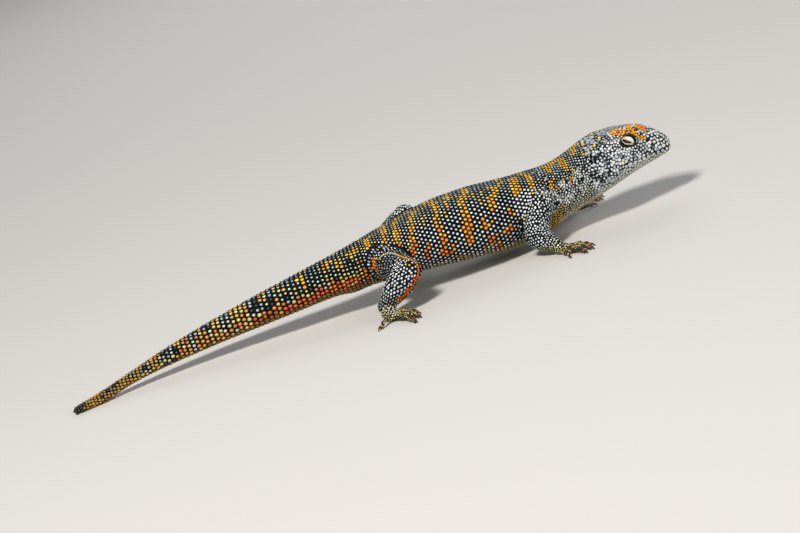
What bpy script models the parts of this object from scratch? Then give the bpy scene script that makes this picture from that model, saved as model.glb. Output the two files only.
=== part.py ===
"""A stout beaded desert lizard, adult, life size, standing still on a flat floor.

Run it with: blender --background --python part.py

Lengths in this file are millimetres until a mesh is made, where MM turns them into metres.
While the parts are shaped, x runs forwards from the tip of the tail, y to the animal's left, and
z up from the floor. At the end everything moves so that the origin lies on the floor under the
middle of the animal's box. Right is the side at minus y.
"""

import math
from collections import namedtuple

import bmesh
import bpy
from mathutils import Matrix, Vector

MM = 0.001

# Driving sizes of the adult
TAIL = 88.0
SNOUT_VENT = 88.3
LENGTH = TAIL + SNOUT_VENT
HEAD = 21.4
EYE_RADIUS = 1.75

# Parting of the body into its nodes
GAP = 0.3
NECK_FRONT = LENGTH - HEAD - 4.7
NECK_REAR = 139.5
TORSO_REAR = 86.0
TAIL_CUTS = (30.0, 58.0)

# Facets round each kind of form
HEAD_SIDES = 34
TRUNK_SIDES = 28
TAIL_SIDES = 18
LIMB_SIDES = 16
DIGIT_SIDES = 8
CLAW_SIDES = 5

# Where a cross-section is widest, as a share of its height, and how square its upper and lower
# halves are: 2 is an ellipse
WAIST = 0.44
UPPER_POWER = 2.15
LOWER_POWER = 2.35

Section = namedtuple("Section", "x top bottom half_width aside")
SECTIONS = [
    Section(1.2, 2.05, -0.12, 1.1, 0.1),
    Section(8.0, 3.1, -0.10, 1.45, 1.4),
    Section(15.0, 4.45, 1.25, 1.75, 2.9),
    Section(22.0, 6.0, 2.2, 2.1, 3.8),
    Section(30.0, 7.75, 2.8, 2.55, 4.3),
    Section(39.0, 9.5, 3.35, 3.15, 4.4),
    Section(48.0, 11.2, 3.9, 3.75, 3.9),
    Section(57.0, 12.85, 4.4, 4.35, 3.0),
    Section(66.0, 14.4, 5.0, 4.85, 1.8),
    Section(75.0, 15.9, 5.6, 5.3, 0.7),
    Section(TORSO_REAR - 1.0, 17.5, 6.0, 6.2, 0.0),
    Section(91.0, 18.6, 5.0, 7.6, 0.0),
    Section(97.0, 19.5, 4.8, 9.3, 0.0),
    Section(104.0, 20.8, 4.2, 11.2, 0.0),
    Section(112.0, 21.4, 3.3, 12.3, 0.0),
    Section(120.0, 21.2, 2.4, 12.3, 0.0),
    Section(127.0, 20.5, 1.6, 11.2, 0.0),
    Section(133.0, 19.9, 1.8, 9.8, 0.0),
    Section(NECK_REAR, 19.5, 2.9, 8.5, 0.0),
    Section(144.5, 19.9, 4.4, 7.7, 0.0),
    Section(149.5, 21.2, 5.6, 7.8, 0.0),
    Section(153.5, 22.4, 6.6, 8.4, 0.0),
    Section(157.5, 23.1, 7.6, 8.7, 0.0),
    Section(161.5, 23.0, 8.6, 7.9, 0.0),
    Section(165.5, 22.3, 9.5, 6.8, 0.0),
    Section(169.0, 21.4, 10.1, 5.7, 0.0),
    Section(171.6, 19.9, 10.5, 4.9, 0.0),
    Section(LENGTH - 2.9, 18.1, 10.8, 4.15, 0.0),
    Section(LENGTH - 1.35, 16.7, 11.2, 3.3, 0.0),
    Section(LENGTH - 0.4, 15.3, 12.0, 2.1, 0.0),
]

# Low swellings and hollows on both sides of the body: centre, how far each reaches, and its height
Swelling = namedtuple("Swelling", "centre reach height")
SWELLINGS = [
    Swelling(Vector((162.9, 5.6, 21.4)), 1.7, 0.35),  # brow, from the back to the front
    Swelling(Vector((165.3, 5.3, 21.5)), 1.8, 0.6),
    Swelling(Vector((167.9, 4.6, 20.9)), 1.6, 0.5),
    Swelling(Vector((166.0, 6.0, 16.2)), 1.8, 0.3),  # below the eye
    Swelling(Vector((170.6, 5.0, 17.6)), 2.0, -0.4),  # hollow before the eye
    Swelling(Vector((174.4, 3.0, 17.0)), 1.3, 0.2),  # rim of the nostril
    Swelling(Vector((158.0, 8.6, 13.6)), 3.6, 0.6),  # jaw muscle
    Swelling(Vector((161.0, 6.9, 20.4)), 2.4, -0.3),  # temple
    Swelling(Vector((149.0, 7.5, 12.5)), 3.2, -0.5),  # side of the neck
    Swelling(Vector((136.5, 7.0, 17.0)), 4.5, 0.6),  # shoulder blade
    Swelling(Vector((93.0, 6.5, 15.0)), 4.5, 0.6),  # hip bone
    Swelling(Vector((83.5, 3.6, 6.6)), 4.2, 1.0),  # tail root behind the vent
]

# Face. Centres are on the left side and are mirrored
EYE = Vector((165.0, 4.45, 19.1))
LIDS = Vector((2.7, 2.4, 2.15))
SLIT_LENGTH = 2.7
SLIT_HEIGHT = 0.55
SLIT_TILT = math.radians(34)
NOSTRIL = Vector((174.0, 3.1, 16.3))
NOSTRIL_RADIUS = 0.42
EAR = Vector((154.2, 8.2, 18.5))
EAR_HALF_SIZE = Vector((0.7, 1.4, 1.8))
MOUTH_CORNER_X = 162.4
MOUTH_HEIGHTS = ((LENGTH + 1.0, 12.9), (173.3, 13.3), (168.0, 13.2), (MOUTH_CORNER_X, 13.7))
MOUTH_GROOVE = 0.32
MOUTH_DEPTH = 0.7
LIP_RADIUS = 0.75
LIP_SUNK = 0.52

# Limbs: each joint's place, and the radii along the upper and the lower bone
Limb = namedtuple("Limb", "names root bend end heading upper lower paddle digits")
ARM_UPPER = (4.6, 4.15, 3.7, 3.2)
ARM_LOWER = (3.2, 3.2, 2.65, 1.9)
LEG_UPPER = (4.7, 4.35, 3.9, 3.4)
LEG_LOWER = (3.45, 4.0, 3.2, 2.0)

# Palm and sole: length, half width at the knuckles, half thickness
Paddle = namedtuple("Paddle", "length half_width half_height")
PALM = Paddle(4.6, 2.3, 1.4)
SOLE = Paddle(6.4, 2.3, 1.45)

# Digits from the inner to the outer: turn from the hand's own heading in degrees, and length
Digit = namedtuple("Digit", "turn length radius")
FINGERS = (
    Digit(-34, 3.9, 0.68),
    Digit(-15, 5.6, 0.70),
    Digit(0, 6.7, 0.70),
    Digit(13, 6.5, 0.70),
    Digit(38, 4.3, 0.66),
)
TOES = (
    Digit(-36, 3.3, 0.78),
    Digit(-18, 5.3, 0.82),
    Digit(-5, 7.6, 0.85),
    Digit(8, 9.6, 0.85),
    Digit(78, 5.2, 0.78),
)
FINGER_ARCH = 0.95
CLAW_LENGTH = 1.7
CLAW_RADIUS = 0.36

LIMBS = (
    Limb("upper_arm_right forearm_right hand_right".split(),
         Vector((137.2, -6.2, 12.0)), Vector((132.9, -13.4, 5.1)), Vector((137.2, -18.6, 2.8)),
         -42, ARM_UPPER, ARM_LOWER, PALM, FINGERS),
    Limb("upper_arm_left forearm_left hand_left".split(),
         Vector((137.0, 6.5, 11.5)), Vector((136.2, 16.6, 9.8)), Vector((145.0, 16.2, 3.1)),
         16, ARM_UPPER, ARM_LOWER, PALM, FINGERS),
    Limb("thigh_right shin_right foot_right".split(),
         Vector((93.0, -4.5, 11.3)), Vector((98.3, -18.0, 9.9)), Vector((88.6, -19.2, 3.3)),
         -55, LEG_UPPER, LEG_LOWER, SOLE, TOES),
    Limb("thigh_left shin_left foot_left".split(),
         Vector((93.0, 4.5, 11.8)), Vector((102.3, 15.6, 15.9)), Vector((94.3, 17.0, 3.3)),
         24, LEG_UPPER, LEG_LOWER, SOLE, TOES),
)

# Colour, roughness: seen from a step away, where the spots and the dark skin run together
COLOURS = {
    "head": ((0.40, 0.40, 0.36), 0.6),
    "trunk": ((0.13, 0.13, 0.11), 0.55),
    "tail": ((0.30, 0.22, 0.08), 0.55),
    "limb": ((0.20, 0.20, 0.17), 0.6),
    "eye": ((0.03, 0.02, 0.015), 0.15),
}


# Curves and sections

def smooth_value(xs, ys, x):
    """The value at x of a smooth curve through the points, which stays between neighbours."""
    if x <= xs[0]:
        return ys[0]
    if x >= xs[-1]:
        return ys[-1]
    i = max(j for j in range(len(xs) - 1) if xs[j] <= x)
    slopes = [(ys[j + 1] - ys[j]) / (xs[j + 1] - xs[j]) for j in range(len(xs) - 1)]

    def tangent(j):
        if j in (0, len(xs) - 1):
            return slopes[min(j, len(slopes) - 1)]
        before, after = slopes[j - 1], slopes[j]
        return 0.0 if before * after <= 0 else 2 * before * after / (before + after)

    width = xs[i + 1] - xs[i]
    t = (x - xs[i]) / width
    near = (1 + 2 * t) * (1 - t) ** 2 * ys[i] + t * (1 - t) ** 2 * width * tangent(i)
    far = t * t * (3 - 2 * t) * ys[i + 1] + t * t * (t - 1) * width * tangent(i + 1)
    return near + far


STATIONS = [s.x for s in SECTIONS]
PROFILES = {
    name: [getattr(s, name) for s in SECTIONS] for name in Section._fields if name != "x"
}


def section_at(x):
    values = {name: smooth_value(STATIONS, ys, x) for name, ys in PROFILES.items()}
    return Section(x=x, **values)


def swollen(point):
    """The point moved out from the body's axis by the swellings near it."""
    side = math.copysign(1.0, point.y)
    mirrored = Vector((point.x, abs(point.y), point.z))
    axis = section_at(point.x)
    outward = mirrored - Vector((point.x, 0.0, (axis.top + axis.bottom) / 2))
    if outward.length < 1e-6:
        return point
    outward.normalize()
    push = sum(
        s.height * math.exp(-((mirrored - s.centre).length / s.reach) ** 2) for s in SWELLINGS
    )
    moved = mirrored + outward * push
    return Vector((moved.x, side * moved.y, moved.z))


def body_ring(x, sides, grow=0.0, shrink=1.0):
    """A ring of points round the body at x. grow pushes it out, and shrink closes it at an end."""
    s = section_at(x)
    waist = s.bottom + WAIST * (s.top - s.bottom)
    ring = []
    for i in range(sides):
        turn = 2 * math.pi * (i + 0.5) / sides
        across, up = math.cos(turn), math.sin(turn)
        power = UPPER_POWER if up > 0 else LOWER_POWER
        reach = (s.top - waist if up > 0 else waist - s.bottom) + grow
        y = math.copysign(abs(across) ** (2 / power), across) * (s.half_width + grow)
        z = math.copysign(abs(up) ** (2 / power), up) * reach
        point = swollen(Vector((x, y, waist + z)))
        centre = Vector((x, 0.0, (s.top + s.bottom) / 2))
        point = centre + (point - centre) * shrink
        ring.append(point + Vector((0.0, s.aside, 0.0)))
    return ring


def spaced(start, stop, step):
    """Evenly spaced values from start to stop, both of them kept, about a step apart."""
    count = max(1, round((stop - start) / step))
    return [start + (stop - start) * i / count for i in range(count + 1)]


# Meshes

def loft(name, rings, cap_start=None, cap_end=None):
    """A closed mesh through rings of points, each end closed on a centre point."""
    mesh = bmesh.new()
    rows = [[mesh.verts.new(p * MM) for p in ring] for ring in rings]
    sides = len(rows[0])
    for row, after in zip(rows, rows[1:]):
        for i in range(sides):
            j = (i + 1) % sides
            mesh.faces.new((row[i], row[j], after[j], after[i]))
    for row, ring, cap in ((rows[0], rings[0], cap_start), (rows[-1], rings[-1], cap_end)):
        middle = cap if cap is not None else sum(ring, Vector()) / sides
        pole = mesh.verts.new(middle * MM)
        for i in range(sides):
            mesh.faces.new((row[i], row[(i + 1) % sides], pole))
    bmesh.ops.recalc_face_normals(mesh, faces=mesh.faces)
    data = bpy.data.meshes.new(name)
    mesh.to_mesh(data)
    mesh.free()
    obj = bpy.data.objects.new(name, data)
    bpy.context.scene.collection.objects.link(obj)
    return obj


def box(name, low, high, matrix=None):
    """A closed box between two corners, turned and moved by the matrix."""
    low, high = Vector(low), Vector(high)
    mesh = bmesh.new()
    bmesh.ops.create_cube(mesh, size=1.0)
    for v in mesh.verts:
        share = v.co + Vector((0.5, 0.5, 0.5))
        corner = Vector(low[k] + (high[k] - low[k]) * share[k] for k in range(3))
        v.co = (matrix @ corner if matrix else corner) * MM
    data = bpy.data.meshes.new(name)
    mesh.to_mesh(data)
    mesh.free()
    obj = bpy.data.objects.new(name, data)
    bpy.context.scene.collection.objects.link(obj)
    return obj


def ellipsoid(name, centre, half_size, rings=10, sides=16):
    """A closed ellipsoid with its poles on the y axis."""
    layers = []
    for k in range(1, rings):
        angle = math.pi * k / rings
        layers.append([
            centre + Vector((
                half_size.x * math.sin(angle) * math.cos(2 * math.pi * i / sides),
                -half_size.y * math.cos(angle),
                half_size.z * math.sin(angle) * math.sin(2 * math.pi * i / sides),
            ))
            for i in range(sides)
        ])
    pole = Vector((0.0, half_size.y, 0.0))
    return loft(name, layers, centre - pole, centre + pole)


def ball(name, centre, radius, rings=10, sides=16):
    return ellipsoid(name, centre, Vector((radius, radius, radius)), rings, sides)


def tube(name, centres, radii, sides, flatten=1.0):
    """A closed tube with round ends. flatten is its height as a share of its width."""
    rings = []
    last = len(centres) - 1
    for i, (centre, radius) in enumerate(zip(centres, radii)):
        along = (centres[min(i + 1, last)] - centres[max(i - 1, 0)]).normalized()
        side = along.cross(Vector((0, 0, 1)))
        side = side.normalized() if side.length > 1e-4 else Vector((0, 1, 0))
        up = side.cross(along)
        rings.append([
            centre
            + side * radius * math.cos(2 * math.pi * k / sides)
            + up * radius * flatten * math.sin(2 * math.pi * k / sides)
            for k in range(sides)
        ])
    ahead = (centres[-1] - centres[-2]).normalized()
    behind = (centres[0] - centres[1]).normalized()
    return loft(name, rings, centres[0] + behind * 0.02, centres[-1] + ahead * 0.02)


# Booleans

def join(name, pieces):
    """One closed mesh from several that overlap."""
    group = bpy.data.collections.new(name + "_pieces")
    first, rest = pieces[0], pieces[1:]
    for piece in rest:
        group.objects.link(piece)
    union = first.modifiers.new("join", "BOOLEAN")
    union.operation = "UNION"
    union.solver = "EXACT"
    union.operand_type = "COLLECTION"
    union.collection = group
    apply_modifiers(first)
    for piece in rest:
        bpy.data.objects.remove(piece)
    bpy.data.collections.remove(group)
    first.name = name
    return first


def cut(obj, *cutters, keep_cutters=False):
    """Takes the cutters away from the object."""
    for cutter in cutters:
        difference = obj.modifiers.new("cut", "BOOLEAN")
        difference.operation = "DIFFERENCE"
        difference.solver = "EXACT"
        difference.object = cutter
        apply_modifiers(obj)
        if not keep_cutters:
            bpy.data.objects.remove(cutter)
    return obj


def apply_modifiers(obj):
    bpy.context.view_layer.update()
    graph = bpy.context.evaluated_depsgraph_get()
    data = bpy.data.meshes.new_from_object(obj.evaluated_get(graph))
    obj.modifiers.clear()
    obj.data = data


def keep_largest(obj):
    """Drops every closed surface but the largest."""
    mesh = bmesh.new()
    mesh.from_mesh(obj.data)
    unseen = set(mesh.faces)
    shells = []
    while unseen:
        shell, edge = set(), [unseen.pop()]
        while edge:
            face = edge.pop()
            shell.add(face)
            near = {f for e in face.edges for f in e.link_faces} & unseen
            unseen -= near
            edge.extend(near)
        shells.append(shell)
    largest = max(shells, key=lambda s: sum(f.calc_area() for f in s))
    loose = [f for f in mesh.faces if f not in largest]
    bmesh.ops.delete(mesh, geom=loose, context="FACES")
    mesh.to_mesh(obj.data)
    mesh.free()
    return obj


def copy_of(obj):
    twin = obj.copy()
    twin.data = obj.data.copy()
    bpy.context.scene.collection.objects.link(twin)
    return twin


HALF_SPACE = 120.0


def half_space(point, normal):
    """A block that fills everything beyond the plane, on the side that the normal points to."""
    turn = normal.to_track_quat("Z", "Y").to_matrix().to_4x4()
    place = Matrix.Translation(point) @ turn
    side = HALF_SPACE / 2
    return box("cutter", (-side, -side, 0.0), (side, side, side), place)


def floor_block():
    """Everything below the floor."""
    return box("floor", (-HALF_SPACE, -HALF_SPACE, -20.0), (3 * HALF_SPACE, HALF_SPACE, 0.0))


# Head, neck, torso and tail

def tail_tip_end(first):
    """Small rings that round off the very tip."""
    ends = ((0.05, 0.45), (0.35, 0.78))
    return [body_ring(first * share, TAIL_SIDES, 0.0, size) for share, size in ends]


def make_tail():
    bounds = (1.2, *TAIL_CUTS, TORSO_REAR)
    names = ("tail_tip", "tail_middle", "tail_root")
    nodes = []
    for name, start, stop in zip(names, bounds, bounds[1:]):
        is_tip = name == "tail_tip"
        first = start if is_tip else start + GAP / 2
        rings = [body_ring(x, TAIL_SIDES) for x in spaced(first, stop - GAP / 2, 2.8)]
        if is_tip:
            rings = tail_tip_end(start) + rings
        node = loft(name, rings)
        nodes.append(cut(node, floor_block()) if is_tip else node)
    return nodes


def make_torso():
    rings = [
        body_ring(x, TRUNK_SIDES)
        for x in spaced(TORSO_REAR + GAP / 2, NECK_REAR - GAP / 2, 2.6)
    ]
    return loft("torso", rings)


def make_neck():
    rings = [
        body_ring(x, TRUNK_SIDES)
        for x in spaced(NECK_REAR + GAP / 2, NECK_FRONT - GAP / 2, 2.0)
    ]
    return loft("neck", rings)


SNOUT_ROUNDING = ((0.18, 0.72), (0.04, 0.36))


def head_shape(name, start, grow=0.0):
    """The head from start to the tip of the snout, with no face cut into it."""
    rings = [body_ring(x, HEAD_SIDES, grow) for x in spaced(start, 170.0, 1.05)]
    rings += [body_ring(x, HEAD_SIDES, grow) for x in spaced(170.8, LENGTH - 0.4, 0.75)]
    rings += [body_ring(LENGTH - x, HEAD_SIDES, grow, size) for x, size in SNOUT_ROUNDING]
    return loft(name, rings)


def mirrored(place, side):
    return Vector((place.x, side * place.y, place.z))


def mouth_cutter():
    """A thin sheet along the line of the mouth, with the head's core taken out of it."""
    xs, heights = zip(*MOUTH_HEIGHTS)
    rings = []
    for x, z in zip(xs, heights):
        low, high = z - MOUTH_GROOVE / 2, z + MOUTH_GROOVE / 2
        corners = ((-12, low), (12, low), (12, high), (-12, high))
        rings.append([Vector((x, y, height)) for y, height in corners])
    sheet = loft("mouth", rings)
    return cut(sheet, head_shape("core", 158.0, -MOUTH_DEPTH))


def surface_y(x, z):
    """How far out the left side of the head reaches at a height."""
    ring = [p for p in body_ring(x, HEAD_SIDES) if p.y > 0]
    ring.sort(key=lambda p: p.z)
    for low, high in zip(ring, ring[1:]):
        if low.z <= z <= high.z:
            share = (z - low.z) / (high.z - low.z)
            return low.y + (high.y - low.y) * share
    return 0.0


def lips():
    """A roll along the line of the mouth, round the snout, which the mouth then parts in two."""
    xs, heights = zip(*reversed(MOUTH_HEIGHTS))
    left = []
    for x in spaced(MOUTH_CORNER_X - 0.6, LENGTH - 2.6, 1.4) + [LENGTH - 1.6, LENGTH - 0.9]:
        z = smooth_value(xs, heights, x)
        slope = (surface_y(x + 0.2, z) - surface_y(x - 0.2, z)) / 0.4
        inward = Vector((slope, -1.0, 0.0)).normalized()
        left.append(Vector((x, surface_y(x, z), z)) + inward * LIP_SUNK)
    front = Vector((LENGTH - LIP_RADIUS, 0.0, left[-1].z))
    right = [mirrored(p, -1) for p in reversed(left)]
    radii = [LIP_RADIUS * min(1.0, 0.35 + 0.3 * i) for i in range(len(left))]
    path = left + [front] + right
    return tube("lips", path, radii + [LIP_RADIUS] + radii[::-1], 8)


def slit_cutter(side):
    """A thin lens through the lids, lower at its front end."""
    lens = []
    steps = 10
    for i in range(steps):
        angle = 2 * math.pi * (i + 0.5) / steps
        along = math.cos(angle) * SLIT_LENGTH / 2
        high = math.sin(angle) * SLIT_HEIGHT / 2
        lens.append((
            along * math.cos(SLIT_TILT) + high * math.sin(SLIT_TILT),
            -along * math.sin(SLIT_TILT) + high * math.cos(SLIT_TILT),
        ))
    rings = [
        [Vector((EYE.x + a, side * y, EYE.z + h)) for a, h in lens] for y in (EYE.y, EYE.y + 4.0)
    ]
    return loft("slit", rings)


def make_head():
    socket = EYE_RADIUS + GAP
    pieces = [head_shape("head", NECK_FRONT + GAP / 2), lips()]
    cutters = [mouth_cutter()]
    eyes = []
    for side, word in ((-1, "right"), (1, "left")):
        eye = mirrored(EYE, side)
        pieces.append(ellipsoid("lids", eye, LIDS, 12, 20))
        cutters.append(ball("socket", eye, socket, 10, 16))
        cutters.append(slit_cutter(side))
        cutters.append(ball("nostril", mirrored(NOSTRIL, side), NOSTRIL_RADIUS, 6, 8))
        cutters.append(ellipsoid("ear", mirrored(EAR, side), EAR_HALF_SIZE, 8, 12))
        eyes.append(ball("eye_" + word, eye, EYE_RADIUS, 10, 16))
    head = join("head", pieces)
    keep_largest(cut(head, *cutters))
    return head, eyes


# Limbs

def bone(name, start, end, radii):
    """A limb's stretch between two joints, swelling as its radii say, with a ball at each end."""
    length = (end - start).length
    along = (end - start) / length
    places, sizes = [], []
    for angle in (80, 50, 20):
        places.append(start - along * radii[0] * math.sin(math.radians(angle)))
        sizes.append(radii[0] * math.cos(math.radians(angle)))
    shares = [i / (len(radii) - 1) for i in range(len(radii))]
    for i in range(7):
        share = i / 6
        places.append(start + along * length * share)
        sizes.append(smooth_value(shares, radii, share))
    for angle in (20, 50, 80):
        places.append(end + along * radii[-1] * math.sin(math.radians(angle)))
        sizes.append(radii[-1] * math.cos(math.radians(angle)))
    return tube(name, places, sizes, LIMB_SIDES)


def heading_of(degrees):
    turn = math.radians(degrees)
    return Vector((math.cos(turn), math.sin(turn), 0.0))


def paddle_piece(limb, heading):
    """The palm or sole: flat, widest at the knuckles, thicker at the wrist."""
    size = limb.paddle
    shares = (-0.22, -0.1, 0.15, 0.45, 0.75, 0.95, 1.08)
    widths = (0.45, 0.68, 0.78, 0.88, 1.0, 0.92, 0.6)
    thick = (0.7, 1.15, 1.2, 1.08, 0.95, 0.8, 0.5)
    side = Vector((-heading.y, heading.x, 0.0))
    base = Vector((limb.end.x, limb.end.y, 0.0))
    rings = []
    for share, width, height in zip(shares, widths, thick):
        centre = base + heading * size.length * share
        centre.z = size.half_height * height * 0.9
        rings.append([
            centre
            + side * size.half_width * width * math.cos(2 * math.pi * k / 14)
            + Vector((0, 0, 1)) * size.half_height * height * math.sin(2 * math.pi * k / 14)
            for k in range(14)
        ])
    return loft("paddle", rings)


def digit_pieces(limb, heading, index):
    """A digit that arches from its knuckle to the floor, and the hooked claw on its end."""
    digit = limb.digits[index]
    outward = 1 if limb.root.y > 0 else -1
    turn = math.radians(outward * digit.turn)
    along = Matrix.Rotation(turn, 3, "Z") @ heading
    side = Vector((-heading.y, heading.x, 0.0))
    spread = outward * (index - 2) * limb.paddle.half_width * 0.37
    knuckle_share = (0.62, 0.8, 0.86, 0.84, 0.6)[index]
    knuckle = Vector((limb.end.x, limb.end.y, 0.0)) + side * spread
    knuckle += heading * limb.paddle.length * knuckle_share
    centres, radii = [], []
    for share in (-0.08, 0.14, 0.32, 0.5, 0.68, 0.86, 1.0):
        radius = digit.radius * (1.0 - 0.28 * max(share, 0.0))
        radius *= 1.0 + 0.1 * math.cos(share * 6 * math.pi)
        lift = FINGER_ARCH * math.sin(math.pi * min(max(share, 0.0), 1.0)) ** 2
        point = knuckle + along * digit.length * share
        point.z = radius * 0.9 + lift
        centres.append(point)
        radii.append(radius if share < 1.0 else radius * 0.62)
    finger = tube("digit", centres, radii, DIGIT_SIDES)
    root = centres[-2]
    claw_centres, claw_radii = [], []
    for share in (0.0, 0.4, 0.75, 1.0):
        point = root + along * (CLAW_LENGTH * share + 0.1)
        point.z = root.z + 0.28 * math.sin(math.pi * share) - (root.z - 0.12) * share ** 2
        claw_centres.append(point)
        claw_radii.append(CLAW_RADIUS * (1.0 - 0.85 * share) + 0.02)
    return [finger, tube("claw", claw_centres, claw_radii, CLAW_SIDES)]


def make_limb(limb, body):
    """The three nodes of a limb, parted by planes through its middle joint and its wrist."""
    heading = heading_of(limb.heading)
    upper_way = (limb.bend - limb.root).normalized()
    lower_way = (limb.end - limb.bend).normalized()
    middle = (upper_way + lower_way).normalized()
    wrist = (lower_way + heading).normalized()
    before, after = -GAP / 2, GAP / 2

    upper_bone = bone("upper", limb.root, limb.bend, limb.upper)
    lower_bone = bone("lower", limb.bend, limb.end, limb.lower)
    whole = join("whole", [copy_of(upper_bone), copy_of(lower_bone)])

    upper = copy_of(whole)
    cut(upper, half_space(limb.bend + middle * before, middle))
    cut(upper, body, keep_cutters=True)

    lower = whole
    cut(lower, half_space(limb.bend + middle * after, -middle))
    cut(lower, half_space(limb.end + wrist * before, wrist))

    pieces = [lower_bone, paddle_piece(limb, heading)]
    for index in range(len(limb.digits)):
        pieces += digit_pieces(limb, heading, index)
    paddle = join("paddle", pieces)
    cut(paddle, half_space(limb.end + wrist * after, -wrist), floor_block())

    bpy.data.objects.remove(upper_bone)
    nodes = (upper, lower, paddle)
    for node, name in zip(nodes, limb.names):
        keep_largest(node)
        node.name = name
    return nodes


def body_allowance():
    """The trunk and neck grown by the gap, which the limbs are cut back to."""
    rings = [body_ring(x, TRUNK_SIDES, GAP) for x in spaced(TORSO_REAR - 9, 150.0, 1.3)]
    return loft("allowance", rings)


# Finish

def paint(obj, look):
    colour, roughness = COLOURS[look]
    material = bpy.data.materials.new(look + "_" + obj.name)
    material.use_nodes = True
    shader = material.node_tree.nodes["Principled BSDF"]
    shader.inputs["Base Color"].default_value = (*colour, 1.0)
    shader.inputs["Roughness"].default_value = roughness
    shader.inputs["Metallic"].default_value = 0.0
    obj.data.materials.clear()
    obj.data.materials.append(material)


def centre_on_floor(objects):
    """Moves the origin to the floor under the middle of the animal's box."""
    corners = [v.co for obj in objects for v in obj.data.vertices]
    middle = Vector((
        (min(c.x for c in corners) + max(c.x for c in corners)) / 2,
        (min(c.y for c in corners) + max(c.y for c in corners)) / 2,
        0.0,
    ))
    for obj in objects:
        obj.data.transform(Matrix.Translation(-middle))


def main():
    for obj in list(bpy.data.objects):
        bpy.data.objects.remove(obj)
    body = body_allowance()
    head, eyes = make_head()
    nodes = {head: "head", make_neck(): "head", make_torso(): "trunk"}
    nodes.update({eye: "eye" for eye in eyes})
    nodes.update({node: "tail" for node in make_tail()})
    for limb in LIMBS:
        nodes.update({node: "limb" for node in make_limb(limb, body)})
    bpy.data.objects.remove(body)
    for obj, look in nodes.items():
        paint(obj, look)
        obj.data.shade_smooth()
        obj.data.set_sharp_from_angle(angle=math.radians(40))
    centre_on_floor(list(nodes))


main()
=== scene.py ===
"""Looks of a life-size beaded desert lizard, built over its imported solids.

Lengths are millimetres in the solids' working frame until a mesh is made: x forwards from the tip
of the tail, y to the animal's left, z up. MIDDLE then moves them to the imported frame, in metres.
"""

import math
from collections import namedtuple

import bmesh
import bpy
import numpy as np
from mathutils import Matrix, Vector
from mathutils.bvhtree import BVHTree
from mathutils.kdtree import KDTree


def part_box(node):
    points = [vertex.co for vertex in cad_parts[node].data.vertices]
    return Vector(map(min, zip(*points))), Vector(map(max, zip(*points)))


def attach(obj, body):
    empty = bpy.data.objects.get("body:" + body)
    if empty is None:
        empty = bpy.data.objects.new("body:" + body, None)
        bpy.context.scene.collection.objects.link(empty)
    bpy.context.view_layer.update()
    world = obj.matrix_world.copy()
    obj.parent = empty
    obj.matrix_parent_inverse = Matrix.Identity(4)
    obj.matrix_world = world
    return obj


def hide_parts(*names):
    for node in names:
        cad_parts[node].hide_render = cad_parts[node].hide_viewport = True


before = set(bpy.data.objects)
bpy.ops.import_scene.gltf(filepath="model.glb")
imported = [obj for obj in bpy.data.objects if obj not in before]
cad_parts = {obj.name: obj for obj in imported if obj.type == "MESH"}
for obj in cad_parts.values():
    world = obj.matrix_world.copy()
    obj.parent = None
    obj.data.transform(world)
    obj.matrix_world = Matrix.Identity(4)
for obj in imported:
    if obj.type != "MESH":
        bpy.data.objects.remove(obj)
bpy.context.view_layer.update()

MM = 0.001
RANDOM = np.random.default_rng(7)

# Sizes shared with the solids
LENGTH = 176.3
EYE = Vector((165.0, 4.45, 19.1))
EYE_RADIUS = 1.75
LIDS = Vector((2.7, 2.4, 2.15))
NOSTRIL = Vector((174.0, 3.1, 16.3))
EAR = Vector((154.2, 8.2, 18.5))
MOUTH_CORNER_X = 162.4
MOUTH_HEIGHTS = ((MOUTH_CORNER_X, 13.7), (168.0, 13.2), (173.3, 13.3), (LENGTH + 1.0, 12.9))
LIP_RADIUS = 0.75
LIP_SUNK = 0.52
WAIST = 0.44
UPPER_POWER = 2.15
LOWER_POWER = 2.35

# Places along the body: where the tail ends, between legs and arms, where the head's scales start
TAIL_END = 88.0
BETWEEN_LIMBS = 118.0
HEAD_START = 152.5

# Cross-sections of the body: x, top, bottom, half width, aside
SECTIONS = np.array([
    (1.2, 2.05, -0.12, 1.1, 0.1),
    (8.0, 3.1, -0.10, 1.45, 1.4),
    (15.0, 4.45, 1.25, 1.75, 2.9),
    (22.0, 6.0, 2.2, 2.1, 3.8),
    (30.0, 7.75, 2.8, 2.55, 4.3),
    (39.0, 9.5, 3.35, 3.15, 4.4),
    (48.0, 11.2, 3.9, 3.75, 3.9),
    (57.0, 12.85, 4.4, 4.35, 3.0),
    (66.0, 14.4, 5.0, 4.85, 1.8),
    (75.0, 15.9, 5.6, 5.3, 0.7),
    (85.0, 17.5, 6.0, 6.2, 0.0),
    (91.0, 18.6, 5.0, 7.6, 0.0),
    (97.0, 19.5, 4.8, 9.3, 0.0),
    (104.0, 20.8, 4.2, 11.2, 0.0),
    (112.0, 21.4, 3.3, 12.3, 0.0),
    (120.0, 21.2, 2.4, 12.3, 0.0),
    (127.0, 20.5, 1.6, 11.2, 0.0),
    (133.0, 19.9, 1.8, 9.8, 0.0),
    (139.5, 19.5, 2.9, 8.5, 0.0),
    (144.5, 19.9, 4.4, 7.7, 0.0),
    (149.5, 21.2, 5.6, 7.8, 0.0),
    (153.5, 22.4, 6.6, 8.4, 0.0),
    (157.5, 23.1, 7.6, 8.7, 0.0),
    (161.5, 23.0, 8.6, 7.9, 0.0),
    (165.5, 22.3, 9.5, 6.8, 0.0),
    (169.0, 21.4, 10.1, 5.7, 0.0),
    (171.6, 19.9, 10.5, 4.9, 0.0),
    (173.4, 18.1, 10.8, 4.15, 0.0),
    (174.95, 16.7, 11.2, 3.3, 0.0),
    (175.9, 15.3, 12.0, 2.1, 0.0),
])

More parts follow.
